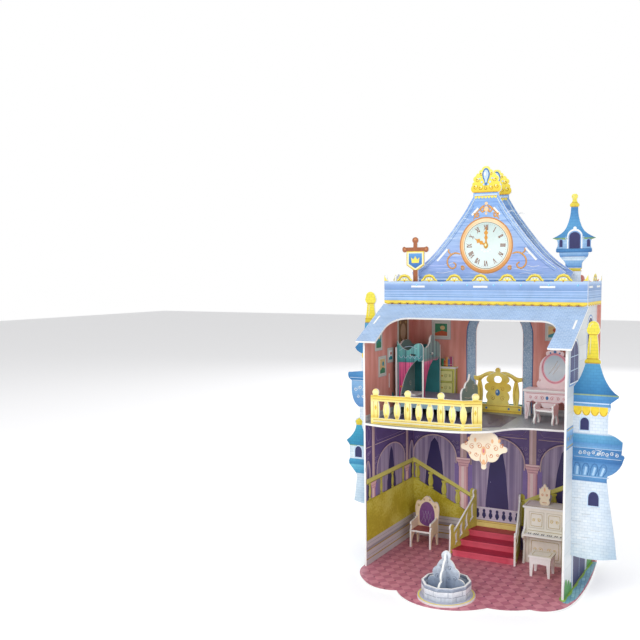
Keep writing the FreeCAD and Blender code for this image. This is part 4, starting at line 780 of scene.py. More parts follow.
banner = {"x": -76.6}
brownWood = ink("printed brown pole", "#a4623d", 0.14, 5.0)
dress("shield_banner", [(-toBack, brownWood), (toBack, plainBack)])
x = banner["x"]
lay("shield_banner", 0, gold, [(x - 10.2, 333.4), (x + 10.2, 333.4), (x + 10.2, 318.8), (x + 2.6, 313.6),
                               (x - 2.6, 313.6), (x - 10.2, 318.8)])
lay("shield_banner", 1, paleYellow, [(x - 9.4, 332.6), (x + 9.4, 332.6), (x + 9.4, 319.2), (x, 313.4),
        (x - 9.4, 319.2)])
lay("shield_banner", 2, banded("printed banner field", 2, [(314, "#3f6fb0"), (324, "#4b84c6"), (332, "#6ba6de")]),
    [(x - 7.8, 331.2), (x + 7.8, 331.2), (x + 7.8, 320.0), (x, 315.2), (x - 7.8, 320.0)])
lay("shield_banner", 3, yellow, [(x - 4.2, 321.0), (x + 4.2, 321.0), (x + 4.9, 327.0), (x + 2.3, 324.6), (x, 328.2),
                                 (x - 2.3, 324.6), (x - 4.9, 327.0)])
lay("shield_banner", 0, ink("printed brown shine", "#c98558", 0.05), disc(x, 346.0, 1.6, 1.2, 14),
    *both(x, disc(x + 12.4, 335.6, 1.3, 1.0, 14)))
printAll("banner")

turret = {"x": 82.4, "windowX": 83.2}
turretZones = [(297, "#e9eef3"), (311.6, "#f6f9fb"), (311.8, "#e7c93c"), (314.6, "#f4dc55"), (315.0, "#5f8fc6"),
               (318, "#7fb0de"), (322.5, "#9cc6ea"), (323.0, "#e8f4fc"), (326.0, "#cfe5f6"), (326.4, "#6796cb"),
               (328.6, "#8db8e4"), (330.8, "#a7cdef"), (331.0, "#3f7bb4"), (334.4, "#5c9bd0"), (334.7, "#9cc4e8"),
               (344.0, "#b4d5ef"), (344.2, "#a9b95a"), (346.0, "#7fae86"), (346.3, "#4f95c8"), (358, "#5ea4d4"),
               (377.3, "#4386bd"), (377.5, "#e8cb34"), (382, "#f8e14e"), (391, "#fbec72")]


def towerFinish(name, zones, axis, half, turned=0.0):
    # print of a round tower on a flat board: zones up the height, scales or blocks, and round shading
    mat, shader = newFinish(name)
    colour = rampAlong(mat, 2, zones) if len(zones) <= 32 else None
    blocks = addNode(mat, "ShaderNodeTexBrick", {
            "Vector": turnedPlace(mat, (math.pi / 2, 0, 0)), "Color1": linear("#ffffff"), "Color2": linear("#f2f6fa"),
            "Mortar": linear("#dbe4ec"), "Scale": 1.0, "Mortar Size": 0.2, "Mortar Smooth": 0.4, "Brick Width": 5.2,
            "Row Height": 2.9}, offset=0.5).outputs["Color"]
    colour = addNode(mat, "ShaderNodeMix", {0: 1.0, 6: colour, 7: blocks},
            data_type="RGBA", blend_type="MULTIPLY").outputs[2]
    colour = addNode(mat, "ShaderNodeMix", {0: 1.0, 6: colour, 7: rampAlong(mat, 0, [ (axis - half, "#e3ebf2"),
            (axis - half * 0.35, "#ffffff"), (axis + half * 0.3, "#f3f7fb"), (axis + half, "#c3d3e2")])},
            data_type="RGBA", blend_type="MULTIPLY").outputs[2]
    return finishPaper(mat, shader, colour, 0.07, 9.0)


dress("roof_turret", [(-toBack, towerFinish("printed turret", turretZones, turret["x"], 19.0)), (toBack, plainBack)])
w = "roof_turret"
x = turret["windowX"]
lay(w, 0, whiteInk, arch(x - 8.0, x + 8.0, 334.9, 347.5, 7.6))
lay(w, 1, midBlue, arch(x - 6.6, x + 6.6, 334.9, 347.2, 6.0))
lay(w, 2, navy, arch(x - 5.6, x + 5.6, 335.0, 347.0, 4.8))
lay(w, 1, whiteInk, disc(x, 355.6, 1.8, count=16))
pen(w, 1, paleBlue, 0.8, *both(x, scroll(x + 9.0, 345.4, 1.7, 0.6, 1, 1.2)))
lay(w, 0, midBlue, arch(66.4, 71.2, 336.4, 342.4, 2.6), arch(95.2, 100.0, 336.4, 342.4, 2.6))
lay(w, 1, navy, arch(67.2, 70.4, 336.6, 342.2, 2.0), arch(96.0, 99.2, 336.6, 342.2, 2.0))
pen(w, 0, whiteInk, 0.5, straight((70.6, 326.2), (94.2, 326.2)), straight((74.6, 314.8), (90.2, 314.8)))
pen(w, 0, amber, 0.5, straight((73.0, 311.7), (91.8, 311.7)), straight((78.8, 378.0), (86.0, 378.0)),
    straight((79.0, 381.6), (85.8, 381.6)))
pen(w, 0, deepBlue, 0.6, straight((63.8, 331.2), (101.0, 331.2)), straight((64.0, 334.6), (100.8, 334.6)))
pen(w, 1, paleYellow, 0.7, [(81.2, 384.6, 0.6), (81.0, 387.2), (82.0, 389.4, 0.6)])
printAll("turret")

# Flat towers

rightZones = [(38, "#dbe8ee"), (60, "#eef4f8"), (112.6, "#e9f1f8"), (113.0, "#4f87bd"), (117.4, "#6aa3d3"),
              (117.7, "#79add9"), (131.2, "#5b93c8"), (131.6, "#3f7db6"), (136.0, "#4f8cc2"), (136.2, "#5c97cb"),
              (145.0, "#4a88be"), (145.3, "#7fb2dc"), (149.8, "#5f99cc"), (150.1, "#5aa0cc"), (158.4, "#74b7da"),
              (158.8, "#f0f5f9"), (184.6, "#e4edf5"), (185.0, "#7db2dd"), (188.6, "#4c8fc6"), (195.4, "#5fa0d2"),
              (195.8, "#b9c46a"), (196.8, "#2f7cb0"), (210, "#4a97c6"), (225.2, "#5aa6d0"), (225.6, "#e8c832"),
              (232, "#f8df3c"), (265, "#fdea55")]
leftZones = [(51, "#cfe3ee"), (70, "#e3eff6"), (150.0, "#e9f2f8"), (161.6, "#f0f6fa"), (161.9, "#5f93cb"),
             (176, "#7fb0de"), (191.4, "#98c4ea"), (191.8, "#3f86c0"), (202.2, "#5c9fd2"), (202.5, "#eef4f8"),
             (221.8, "#e3edf4"), (222.2, "#3f8fc4"), (228.8, "#2f7fb6"), (242, "#4c9aca"), (256.2, "#5aa8d2"),
             (256.5, "#e8c832"), (264, "#f8df3c"), (291, "#fdea55")]
rightFinish = towerFinish("printed right tower", rightZones, 124.0, 28.0)
leftFinish = towerFinish("printed left tower", leftZones, -128.0, 26.0)
dress("right_tower", [(-toBack, rightFinish), (toBack, rightFinish)])
dress("left_tower", [(-toBack, leftFinish), (toBack, leftFinish)])

scallopYellow = ink("printed yellow scallops", "#f4d43a", 0.10, 4.0)
for where in ("right_tower", "right_tower_rear"):
    lay(where, 0, scallopYellow, *[arch(106.7 + 8.1 * k, 114.6 + 8.1 * k, 184.8, 180.6, -4.6) for k in range(4)])
    pen(where, 1, amber, 0.5, *[[(107.0 + 8.1 * k, 180.4), (110.6 + 8.1 * k, 176.2), (114.2 + 8.1 * k, 180.4)]
                                for k in range(4)])
    lay(where, 0, paleBlue, arch(112.3, 122.5, 161.4, 169.6, 5.4), arch(121.2, 133.2, 88.6, 97.4, 6.8))
    lay(where, 1, navy, arch(113.3, 121.5, 162.2, 169.4, 4.6), arch(122.2, 132.2, 89.6, 97.2, 6.0))
    # white scrolls on the wide ring
    pen(where, 0, whiteInk, 0.7, *[scroll(113.5 + 4.3 * k, 140.6 + (0.5 if k % 2 else -0.5), 2.1, 2.0 + 1.6 * k,
                                          1 if k % 2 else -1, 1.3) for k in range(9)],
        *[[(131.0 + 3.2 * s, 138.2, 0.5), (132.6, 141.4 + abs(s)), (131.0 + 3.2 * s, 144.0, 0.5)] for s in (-1, 1)])
    pen(where, 0, paleBlue, 0.6, straight((106.8, 145.1), (153.0, 145.1)), straight((106.8, 136.1), (153.4, 136.1)),
        straight((106.8, 117.5), (141.6, 117.5)), straight((106.8, 158.6), (139.2, 158.6)))
    # corbels: pale fans with dark arches between them
    pen(where, 0, deepBlue, 0.9, *[[(108.2 + 7.6 * k, 118.6), (108.2 + 8.2 * k, 126.4), (111.0 + 8.4 * k, 130.2),
                                    (113.8 + 8.4 * k, 126.4), (113.4 + 7.4 * k, 118.6)] for k in range(4)])
    lay(where, 0, ink("printed corbel shine", "#a9cdec", 0.05), *[
        [(109.9 + 7.6 * k, 119.0), (111.9 + 7.6 * k, 119.0), (112.6 + 8.3 * k, 126.6), (110.6 + 8.3 * k, 127.4)]
        for k in range(4)])
    pen(where, 0, greyInk, 0.35, *[straight((107 + 9 * (k % 3), 50 + 7.6 * k), (116 + 9 * (k % 3), 50.4 + 7.6 * k))
                                   for k in range(7)])
    pen(where, 1, amber, 0.5, straight((118.4, 229.9), (129.4, 229.9)), straight((117.4, 226.0), (130.2, 226.0)),
        straight((119.6, 252.6), (128.0, 252.6)))
    pen(where, 1, paleYellow, 1.0, [(120.8, 234, 0.7), (121.4, 244), (121.6, 250, 0.7)], [(120.6, 259.4, 0.5),
            (121.6, 262.0), (123.6, 263.2, 0.5)])
    lay(where, 0, paleBlue, box(106.8, 187.4, 140.2, 188.6))

smallZones = [(51, "#cfe3ee"), (72, "#dfeef6"), (86.0, "#e6f2f8"), (86.4, "#3f9cc2"), (96.0, "#6cc0d8"),
              (96.3, "#2f8ab4"), (102.4, "#4aa7cc"), (102.7, "#eaf3f7"), (117.2, "#dcebf2"), (117.5, "#8fb05c"),
              (118.6, "#2c8fb6"), (141.2, "#42aecb"), (141.6, "#e8c832"), (150, "#fbe54c")]
smallFinish = towerFinish("printed small turret", smallZones, -146.0, 13.0)
smallShape = [(-148.6, 55.2), (-133.6, 53.0), (-135.0, 84.4), (-134.0, 86.6), (-130.2, 91.0), (-127.0, 96.6),
              (-127.6, 102.4), (-130.4, 103.0), (-130.6, 117.2), (-127.0, 119.8), (-125.0, 122.6), (-131.0, 127.6),
              (-136.2, 134.0), (-138.6, 141.2), (-137.8, 146.0), (-141.6, 149.6), (-146.4, 146.0), (-145.2, 141.4),
              (-147.4, 134.6), (-152.4, 127.8), (-158.0, 123.0), (-155.4, 119.6), (-153.9, 117.4), (-153.8, 102.6),
              (-155.4, 99.6), (-154.9, 96.2), (-151.1, 91.8), (-146.4, 86.4), (-145.0, 84.4)]
for where in ("left_tower", "left_tower_rear"):
    lay(where, 0, smallFinish, smallShape)
    lay(where, 1, paleBlue, arch(-148.4, -137.8, 103.6, 111.6, 6.6))
    lay(where, 2, navy, arch(-147.4, -138.8, 104.6, 111.4, 5.6))
    lay(where, 1, navy, arch(-131.6, -121.4, 205.0, 212.4, 5.8), arch(-124.0, -113.6, 88.0, 97.0, 6.2))
    lay(where, 0, paleBlue, arch(-132.6, -120.4, 204.2, 212.6, 6.8), arch(-125.0, -112.6, 87.2, 97.2, 7.2))
    pen(where, 0, whiteInk, 0.7, *[scroll(-146.0 + 5.6 * k, 183.0 + (1.2 if k % 2 else -1.2), 2.6, 1.0 + 1.7 * k,
                                          1 if k % 2 else -1, 1.3) for k in range(7)],
        *[scroll(-143.0 + 6.2 * k, 173.4, 2.0, 2.0 + k, -1, 1.2) for k in range(6)])
    pen(where, 1, paleBlue, 0.7, straight((-154.0, 194.6), (-106.8, 194.6)), straight((-150.6, 191.6),
            (-106.8, 191.6)))
    pen(where, 1, amber, 0.6, straight((-133.0, 256.6), (-119.4, 256.6)), straight((-131.0, 277.4), (-121.4, 277.4)),
        straight((-133.6, 260.4), (-119.0, 260.4)))
    lay(where, 1, scallopYellow, *[arch(-137.4 + 7.8 * k, -130.0 + 7.8 * k, 222.4, 219.4, -3.8) for k in range(4)])
    pen(where, 2, paleYellow, 1.0, [(-128.6, 263, 0.7), (-128.0, 271), (-127.8, 276, 0.7)])
printAll("towers")

# Upper room

glitterBlue = glitter()
outer, inner = arch(-37.5, 37.5, 156.2, 243.0, 33.0, 16), arch(-27.4, 27.4, 156.2, 243.0, 27.4, 16)
lay("backIn", 0, glitterBlue, [*outer[1:], outer[0], inner[0], *reversed(inner[1:])])
pen("backIn", 1, deepBlue, 1.1, [(38.0, 156.4), (38.0, 200), (38.0, 240),
        *[(37.9 * math.cos(a), 243 + 33.4 * math.sin(a))
                                 for a in (0.2, 0.5, 0.8)]], [(-38.0, 156.4), (-38.0, 200), (-38.0, 240),
                                 *[(-37.9 * math.cos(a), 243 + 33.4 * math.sin(a)) for a in (0.2, 0.5, 0.8)]])
skirting = banded("printed skirting", 2, [(156, "#aeb2b6"), (158.2, "#d9dbdc"), (160.6, "#c2c5c9"),
        (163.6, "#e4e4e3")],
                  mottle=0.05)
lay("backIn", 0, skirting, box(-104.2, 156.1, -38.8, 163.4), box(38.8, 156.1, 104.2, 163.4))
for side in ("leftIn", "rightIn"):
    lay(side, 0, skirting, box(-59.4, 156.1, 57.8, 163.4))
paneGreen, paneRed = ink("picture leaf green", "#3f8f6a", 0.2, 2.5), ink("picture rust red", "#c4623c", 0.2, 2.5)
paneBlue, paneSand = ink("picture sea blue", "#3f9aa8", 0.2, 2.5), ink("picture sand", "#e2c78a", 0.15, 2.5)
frameInk = ink("printed picture frame", "#dadcd4", 0.06, 3.0)
umber = ink("printed umber frame", "#7d6646", 0.10, 3.0)


def picture(where, x0, z0, x1, z1, rim, layout):
    # a framed print with a plain abstract view, nobody's in particular
    lay(where, 0, greyInk, box(x0 - 0.5, z0 - 0.7, x1 + 0.7, z1 + 0.3))
    lay(where, 1, frameInk, box(x0, z0, x1, z1))
    pen(where, 2, greyInk, 0.35, ("closed", straight((x0 + rim * 0.5, z0 + rim * 0.5), (x1 - rim * 0.5,
            z0 + rim * 0.5),
                                                     (x1 - rim * 0.5, z1 - rim * 0.5), (x0 + rim * 0.5,
                                                     z1 - rim * 0.5),
                                                     (x0 + rim * 0.5, z0 + rim * 0.5))))
    w, h = x1 - x0 - 2 * rim, z1 - z0 - 2 * rim
    lay(where, 2, layout[0], box(x0 + rim, z0 + rim, x1 - rim, z1 - rim))
    lay(where, 3, layout[1], [(x0 + rim, z0 + rim), (x1 - rim, z0 + rim), (x1 - rim, z0 + rim + h * 0.30),
                              (x0 + rim + w * 0.55, z0 + rim + h * 0.42), (x0 + rim, z0 + rim + h * 0.22)])
    lay(where, 4, layout[2], disc(x0 + rim + w * 0.62, z0 + rim + h * 0.66, w * 0.20, h * 0.17, 14))


picture("leftIn", -37.0, 229.0, -21.0, 252.0, 2.4, (paneBlue, paneGreen, paneSand))
picture("leftIn", -8.0, 213.6, 5.4, 229.0, 2.6, (whiteInk, paneBlue, paneRed))
picture("leftIn", -29.4, 200.4, -12.0, 221.6, 3.0, (paneSand, paneGreen, paneBlue))
picture("backIn", -80.6, 235.6, -58.4, 256.6, 3.6, (paneGreen, paneRed, paneSand))
picture("backIn", 52.0, 238.0, 70.0, 256.0, 3.0, (paneSand, paneBlue, paneRed))
picture("rightIn", -30.0, 214.0, -8.0, 238.0, 3.2, (paneBlue, paneGreen, paneSand))
picture("rightIn", 12.0, 226.0, 30.0, 246.0, 3.0, (paneSand, paneRed, paneGreen))
lay("leftIn", 0, frameInk, box(16.0, 224.6, 45.6, 262.0))
lay("leftIn", 1, umber, box(20.0, 231.0, 41.6, 258.4))
lay("leftIn", 2, ink("printed pale oval", "#b8a184", 0.08, 3.0), disc(30.8, 244.6, 6.6, 9.4, 24))
pen("leftIn", 2, paneSand, 0.7, *both(30.8, scroll(38.0, 255.0, 1.8, 0.5, 1, 1.2),
        scroll(38.0, 234.4, 1.8, 3.5, -1, 1.2)))
lay("leftIn", 1, paneBlue, disc(4.0, 175.0, 2.2, 4.6, 16))
printAll("upper_room")

rug = ink("printed plum rug", "#4c4360", 0.18, 3.0)
rugLine = ink("printed rug figure", "#6f5a72", 0.12, 3.0)
lay("upper", 0, rug, [(-90, -52), (-2, -46), (31, -25), (28.5, 36), (-18, 47.6), (-90, 47.6)])
pen("upper", 1, rugLine, 0.8, straight((-86, -47), (-4, -41), (26.5, -22.4), (24.6, 32.6), (-18.6, 43.4), (-86, 43.4),
                                       (-86, -47)),
    *[scroll(-70 + 21 * i, -34 + 24 * j, 3.6, i + j, 1 if (i + j) % 2 else -1,
    1.4) for i in range(5) for j in range(3)],
    *[scroll(14.0, -12 + 12 * j, 2.8, j, 1, 1.4) for j in range(4)])
pen("upper", 0, ink("printed floor joint", "#7b838b", 0.05), 0.35,
    *[straight((36, y), (104, y)) for y in range(-2, 56, 9)])
printAll("upper_floor")

# Ground-floor room

purple = ink("printed purple panel", "#6a588f", 0.14, 12.0)
deepPurple = ink("printed purple shade", "#544477", 0.10, 12.0)
curtain = drape("printed mauve curtain", "#c0b3cc", "#a497b6", "#85789f", 3.6, 0)
curtainSide = drape("printed mauve curtain side", "#c0b3cc", "#a497b6", "#85789f", 3.6, 1)
nightSky = night()
archCream = ink("printed cream arch", "#e6cfcf", 0.05, 6.0)
columnPink = ink("printed pink column", "#f0c3c9", 0.06, 6.0)
columnShine = ink("printed column shine", "#fbe3e2", 0.04, 6.0)
columnShade = ink("printed column shade", "#cf97a6", 0.05, 6.0)
shaftBeige = ink("printed beige shaft", "#cdb0ab", 0.06, 6.0)
lilacStrip = ink("printed lilac strip", "#8c78b8", 0.08, 6.0)


def damask(name):
    # yellow-green wall covering with a darker speckled figure
    mat, shader = newFinish(name)
    figure = addNode(mat, "ShaderNodeTexNoise", {"Vector": place(mat), "Scale": 0.42, "Detail": 3.0,
            "Roughness": 0.7})
    spread = addNode(mat, "ShaderNodeTexNoise", {"Vector": place(mat), "Scale": 0.035, "Detail": 1.0})
    speckle = addNode(mat, "ShaderNodeMath", {0: figure.outputs["Fac"], 1: spread.outputs["Fac"]},
            operation="MULTIPLY")
    ramp = addNode(mat, "ShaderNodeValToRGB", {"Fac": speckle.outputs[0]})
    fillRamp(ramp, [(0.16, "#c0b12e"), (0.22, "#cdbf3a"), (0.28, "#d8cd55"), (0.36, "#ddd668")])
    return finishPaper(mat, shader, ramp.outputs["Color"], 0.07, 22.0)


wainscot = damask("printed yellow damask")
railLime = ink("printed handrail lime", "#e0db78", 0.07, 9.0)
balusterLime = ink("printed baluster lime", "#d2cc57", 0.10, 5.0)
balusterShine = ink("printed baluster shine", "#efecab", 0.05, 5.0)
baseWhite = ink("printed base white", "#d4d3d6", 0.05, 14.0)
baseGrey = ink("printed base grey", "#a9a9b0", 0.05, 14.0)
goldLine = ink("printed old gold line", "#b9a043", 0.06, 6.0)


def columnPrint(where, x, low, cap, half, topShaft):
    lay(where, 2, lilacStrip, box(x - half - 5.4, low, x - half - 0.4, cap + 2), box(x + half + 0.4, low,
            x + half + 5.4, cap + 2))
    lay(where, 3, columnPink, box(x - half, low, x + half, cap))
    lay(where, 4, columnShine, box(x - half * 0.45, low, x + half * 0.15, cap))
    lay(where, 4, columnShade, box(x + half * 0.66, low, x + half, cap))
    capital = [(x - half - 0.4, cap - 1.6), (x + half + 0.4, cap - 1.6), (x + half + 0.8, cap + 1.4),
            (x + half + 2.6, cap + 4.6),
               (x + half + 2.8, cap + 8.4), (x - half - 2.8, cap + 8.4), (x - half - 2.6, cap + 4.6),
               (x - half - 0.8, cap + 1.4)]
    lay(where, 5, columnPink, capital)
    lay(where, 6, columnShine, box(x - half - 2.4, cap + 6.4, x + half + 2.4, cap + 7.9))
    pen(where, 6, columnShade, 0.6, straight((x - half - 0.4, cap - 0.6), (x + half + 0.4, cap - 0.6)),
        straight((x - half - 1.2, cap + 2.2), (x + half + 1.2, cap + 2.2)),
        straight((x - half - 2.4, cap + 5.6), (x + half + 2.4, cap + 5.6)))
    lay(where, 5, shaftBeige, box(x - half * 0.72, cap + 8.6, x + half * 0.72, 153.6))
    lay(where, 6, archCream, box(x - half * 0.5, cap + 8.6, x - half * 0.05, 153.6))


def archPrint(where, x0, x1, spring, rise, sheet, nightLow, nightGap, low):
    # curtains under an arch, parted over the evening sky
    middle = (x0 + x1) / 2
    lay(where, 1, sheet, arch(x0, x1, low, spring, rise, 20))
    gap = nightGap
    top = spring + rise - 3.0
    lay(where, 2, nightSky, [(middle - gap * 1.05, nightLow), (middle + gap * 1.05, nightLow),
            (middle + gap * 1.0, nightLow + 22),
                             (middle + gap * 0.72, spring - 8), (middle + gap * 0.34, top - 6), (middle, top),
                             (middle - gap * 0.34, top - 6), (middle - gap * 0.72, spring - 8), (middle - gap * 1.0,
                             nightLow + 22)])
    half = (x1 - x0) / 2
    pen(where, 3, archCream, 1.5, [(x0, low + (spring - low) * s) for s in (0.9, 1.0)] +
        [(middle - half * math.cos(a), spring + rise * math.sin(a)) for a in [math.pi * k / 12 for k in range(1,
        12)]] +
        [(x1, spring), (x1, low + (spring - low) * 0.9)])
    pen(where, 3, deepPurple, 0.6, [(middle - (half + 1.6) * math.cos(a), spring + (rise + 1.6) * math.sin(a))
                                    for a in [math.pi * k / 12 for k in range(1, 12)]])


def spandrelPrint(where, x, z, flip, across=9.0, tall=15.0):
    # trailing scrolls in the corner between an arch and its column
    lines = []
    for k, (dx, dz, size) in enumerate([(0.22, 0.86, 2.5), (0.62, 0.90, 2.3), (0.98, 0.94, 2.0), (0.16, 0.50, 2.2),
                                        (0.50, 0.60, 1.9), (0.10, 0.16, 1.7), (1.30, 0.99, 1.5)]):
        lines.append(scroll(x + flip * across * dx * 1.5, z + tall * dz, size, 1.4 * k, flip if k % 2 else -flip,
                1.3, 0.9))
    pen(where, 1, lilacLine, 0.62, *lines)


def friezePrint(where, x0, x1):
    pen(where, 1, archCream, 0.8, straight((x0, 128.6), (x1, 128.6)))
    pen(where, 1, lilacLine, 0.55, ("closed", straight((x0 + 3, 137), (x0 + 7, 132), (x1 - 7, 132), (x1 - 3, 137),
                                                       (x1 - 3, 146), (x1 - 7, 151), (x0 + 7, 151), (x0 + 3, 146),
                                                       (x0 + 3, 137))))


def balusterPrint(where, layer, x, low, high, half=2.4):
    tall = high - low
    side = [(1.0, 0.0), (1.0, 0.08), (0.62, 0.14), (0.95, 0.30), (1.0, 0.48), (0.72, 0.74), (0.60, 0.84), (0.95,
            0.90), (0.95, 1.0)]
    shape = [(x + half * w, low + tall * s) for w, s in side] + [(x - half * w, low + tall * s) for w,
            s in reversed(side)]
    lay(where, layer, balusterLime, shape)
    pen(where, layer + 1, limeShade, 0.45, [(x + half * w * 0.92, low + tall * s) for w, s in side[1:-1]],
        straight((x - half * 0.6, low + tall * 0.13), (x + half * 0.6, low + tall * 0.13)))
    pen(where, layer + 1, balusterShine, 0.8, [(x - half * w * 0.4, low + tall * s, 0.8) for w, s in side[2:-2]])


def newelPrint(where, layer, x, low, high, half=3.1):
    lay(where, layer, balusterLime, box(x - half, low, x + half, high - 8), arch(x - half * 1.1, x + half * 1.1,
            high - 6.8, high - 4, 4.0))
    lay(where, layer, railLime, box(x - half * 0.8, high - 7.9, x + half * 0.8, high - 6.9))
    lay(where, layer + 1, balusterShine, box(x - half * 0.5, low + 1, x - half * 0.05, high - 9))
    pen(where, layer + 1, limeShade, 0.5, straight((x + half * 0.8, low), (x + half * 0.8, high - 8.4)),
        straight((x - half, low + 3), (x + half, low + 3)), straight((x - half, high - 8.2), (x + half, high - 8.2)))


def basePrint(where, x0, x1):
    lay(where, 4, baseWhite, box(x0, 2.1, x1, 8.0), box(x0, 9.2, x1, 17.4), box(x0, 21.6, x1, 28.6))
    lay(where, 4, baseGrey, box(x0, 18.6, x1, 21.5))
    lay(where, 4, goldLine, box(x0, 8.05, x1, 9.15), box(x0, 17.45, x1, 18.55))
    pen(where, 5, baseGrey, 0.5, straight((x0, 25.2), (x1, 25.2)), straight((x0, 12.4), (x1, 12.4)))


# back wall: two columns, three arches, stairs' handrails and the window balustrade
lay("backIn", 0, purple, box(-104.3, 2.1, 104.3, 153.8))
for x0, x1, rise in ((-107.4 + 3.0, -50.6, 24.0), (-32.4, 30.6, 27.0), (48.8, 104.2, 25.0)):
    archPrint("backIn", x0, x1, 100.0, rise, curtain, 30.0, 13.4, 29.0)
for x in (-41.6, 39.8):
    columnPrint("backIn", x, 29.0, 92.0, 5.5, True)
spandrelPrint("backIn", -46.4, 104, -1)
spandrelPrint("backIn", -36.8, 104, 1)
spandrelPrint("backIn", 35.0, 104, -1)
spandrelPrint("backIn", 44.6, 104, 1)
spandrelPrint("backIn", -102.0, 106, 1, 5.0)
spandrelPrint("backIn", 102.0, 106, -1, 5.0)
for x0, x1 in ((-103, -46.6), (-36.6, 34.8), (44.8, 103)):
    friezePrint("backIn", x0, x1)
basePrint("backIn", -104.2, -36.0)
basePrint("backIn", 36.0, 104.2)
lay("backIn", 7, wainscot, [(-104.2, 28.8), (-36.4, 28.8), (-33.4, 36.4), (-104.2, 71.6)],
    [(104.2, 28.8), (36.0, 28.8), (33.0, 36.4), (104.2, 71.6)])
pen("backIn", 8, limeShade, 0.6, straight((-104.2, 71.9), (-33.4, 36.7)), straight((104.2, 71.9), (33.0, 36.7)))
lay("backIn", 7, railLime, [(-104.2, 89.6), (-31.0, 54.6), (-31.0, 59.6), (-104.2, 95.6)],
    [(104.2, 89.6), (30.0, 54.6), (30.0, 59.6), (104.2, 95.6)])
pen("backIn", 8, limeShade, 0.7, straight((-104.2, 89.9), (-31.0, 54.9)), straight((104.2, 89.9), (30.0, 54.9)))
for k in range(4):
    rise = 8.4 * k
    balusterPrint("backIn", 9, -48.4 - 16.9 * k, 43.6 + rise, 62.6 + rise, 3.3)
    balusterPrint("backIn", 9, 47.4 + 16.9 * k, 43.6 + rise, 62.6 + rise, 3.3)
newelPrint("backIn", 9, -30.0, 30.0, 66.4, 3.0)
newelPrint("backIn", 9, 28.4, 30.0, 66.4, 3.0)
lay("backIn", 4, ink("printed cream step band", "#f3e38d", 0.06, 8.0), box(-27.0, 21.6, 25.4, 30.6))
pen("backIn", 5, amber, 0.5, straight((-27.0, 30.2), (25.4, 30.2)), straight((-27.0, 28.4), (25.4, 28.4)))
vases = []
for k in range(7):
    x = -24.0 + 7.8 * k
    vases.append([(x - 1.0, 33.0), (x + 1.0, 33.0), (x + 1.4, 34.4), (x + 2.4, 36.0), (x + 2.0, 38.6), (x + 1.2,
            39.8),
                  (x + 1.7, 42.0), (x + 1.0, 43.6), (x - 1.0, 43.6), (x - 1.7, 42.0), (x - 1.2, 39.8), (x - 2.0,
                  38.6),
                  (x - 2.4, 36.0), (x - 1.4, 34.4)])
lay("backIn", 4, ink("printed lilac balustrade", "#cfc6dc", 0.05, 6.0), box(-27.0, 30.7, 25.4, 46.0))
lay("backIn", 5, navy, *vases)
pen("backIn", 5, whiteInk, 0.5, straight((-27.0, 45.0), (25.4, 45.0)), straight((-27.0, 31.9), (25.4, 31.9)))

# side walls
for where, sheet in (("leftIn", curtainSide), ("rightIn", curtainSide)):
    lay(where, 0, purple, box(-59.6, 2.1, 57.9, 153.8))
    archPrint(where, -35.0, 34.0, 100.0, 23.0, sheet, 60.0, 10.5, 60.0)
    archPrint(where, 46.6, 57.6, 100.0, 16.0, sheet, 60.0, 2.6, 60.0)
    archPrint(where, -59.4, -50.8, 100.0, 14.0, sheet, 60.0, 2.2, 60.0)
    columnPrint(where, -43.4, 60.0, 84.0, 4.0, True)
    columnPrint(where, 39.6, 60.0, 84.0, 4.0, True)
    spandrelPrint(where, -40.4, 101, 1, 7.0)
    spandrelPrint(where, 36.4, 101, -1, 7.0)
    spandrelPrint(where, -57.4, 108, 1, 4.0)
    friezePrint(where, -40, 36)
    friezePrint(where, -59, -46.8)
    basePrint(where, -59.6, 57.9)
    lay(where, 7, wainscot, box(-59.6, 28.8, 57.9, 72.2))
    pen(where, 8, limeShade, 0.6, straight((-59.6, 72.4), (57.9, 72.4)))
    lay(where, 7, railLime, box(-59.6, 90.0, 57.9, 95.4))
    pen(where, 8, limeShade, 0.7, straight((-59.6, 90.3), (57.9, 90.3)))
    for y in (-52.4, -26.2, 1.0, 28.4, 54.6):
        balusterPrint(where, 9, y, 72.6, 90.0, 2.9)
printAll("ground_room")

# terrace: grass edge and setts beside the right wall
grass = ink("printed grass", "#8fb94a", 0.3, 2.5)
lay("ground", 0, cobbles(), [(107.2, -66.0), (112.0, -66.0), (116.4, -52.0), (117.2, -30.0), (116.4, 0.0),
        (115.0, 24.0),
                             (112.6, 56.0), (107.2, 56.0)])
lay("ground", 1, grass, ("smooth", [(107.0, -64), (108.6, -58), (108.0, -50), (109.6, -42), (108.2, -30), (109.4,
        -18),
                                    (108.0, -4), (109.2, 10), (108.0, 26), (108.8, 44), (107.0, 54), (106.8, 20),
                                    (106.8, -20)]))
printAll("terrace")

# Railings and stairs

railing = {"turn": 1.8, "bend": 32.8, "long": 100.9, "short": 18.6, "firstPost": 5.6, "pitch": 35.8}
railRun, railBend = math.radians(railing["turn"]), math.radians(railing["bend"])
railStart = Vector((boardLow["front_balustrade"].x + 2 * math.sin(railRun), boardLow["front_balustrade"].y, 0))
alongRun = Vector((math.cos(railRun), math.sin(railRun), 0))
alongBend = Vector((math.cos(railBend), math.sin(railBend), 0))
outRun, outBend = Vector((alongRun.y, -alongRun.x, 0)), Vector((alongBend.y, -alongBend.x, 0))
railFold = railStart + alongRun * railing["long"]
setBoard("railLong", railStart, alongRun, toTop, outRun)
setBoard("railShort", railFold, alongBend, toTop, outBend)
railPaint = banded("printed cream railing", 2, [(154, "#e2c64e"), (157.4, "#f8e27c"), (161.6, "#fbec9a"),
        (163.4, "#e6ca57"),
    (167, "#fbe987"), (178, "#fcf2ae"), (183.6, "#f4da6a"), (185.2, "#dcbb45"), (186.4, "#fbe987"), (190, "#fdf3b4"),
    (193, "#f0d565")], mottle=0.06)
dress("front_balustrade", [(outRun, railPaint), (outBend, railPaint), (-outRun, railPaint), (-outBend, railPaint)])
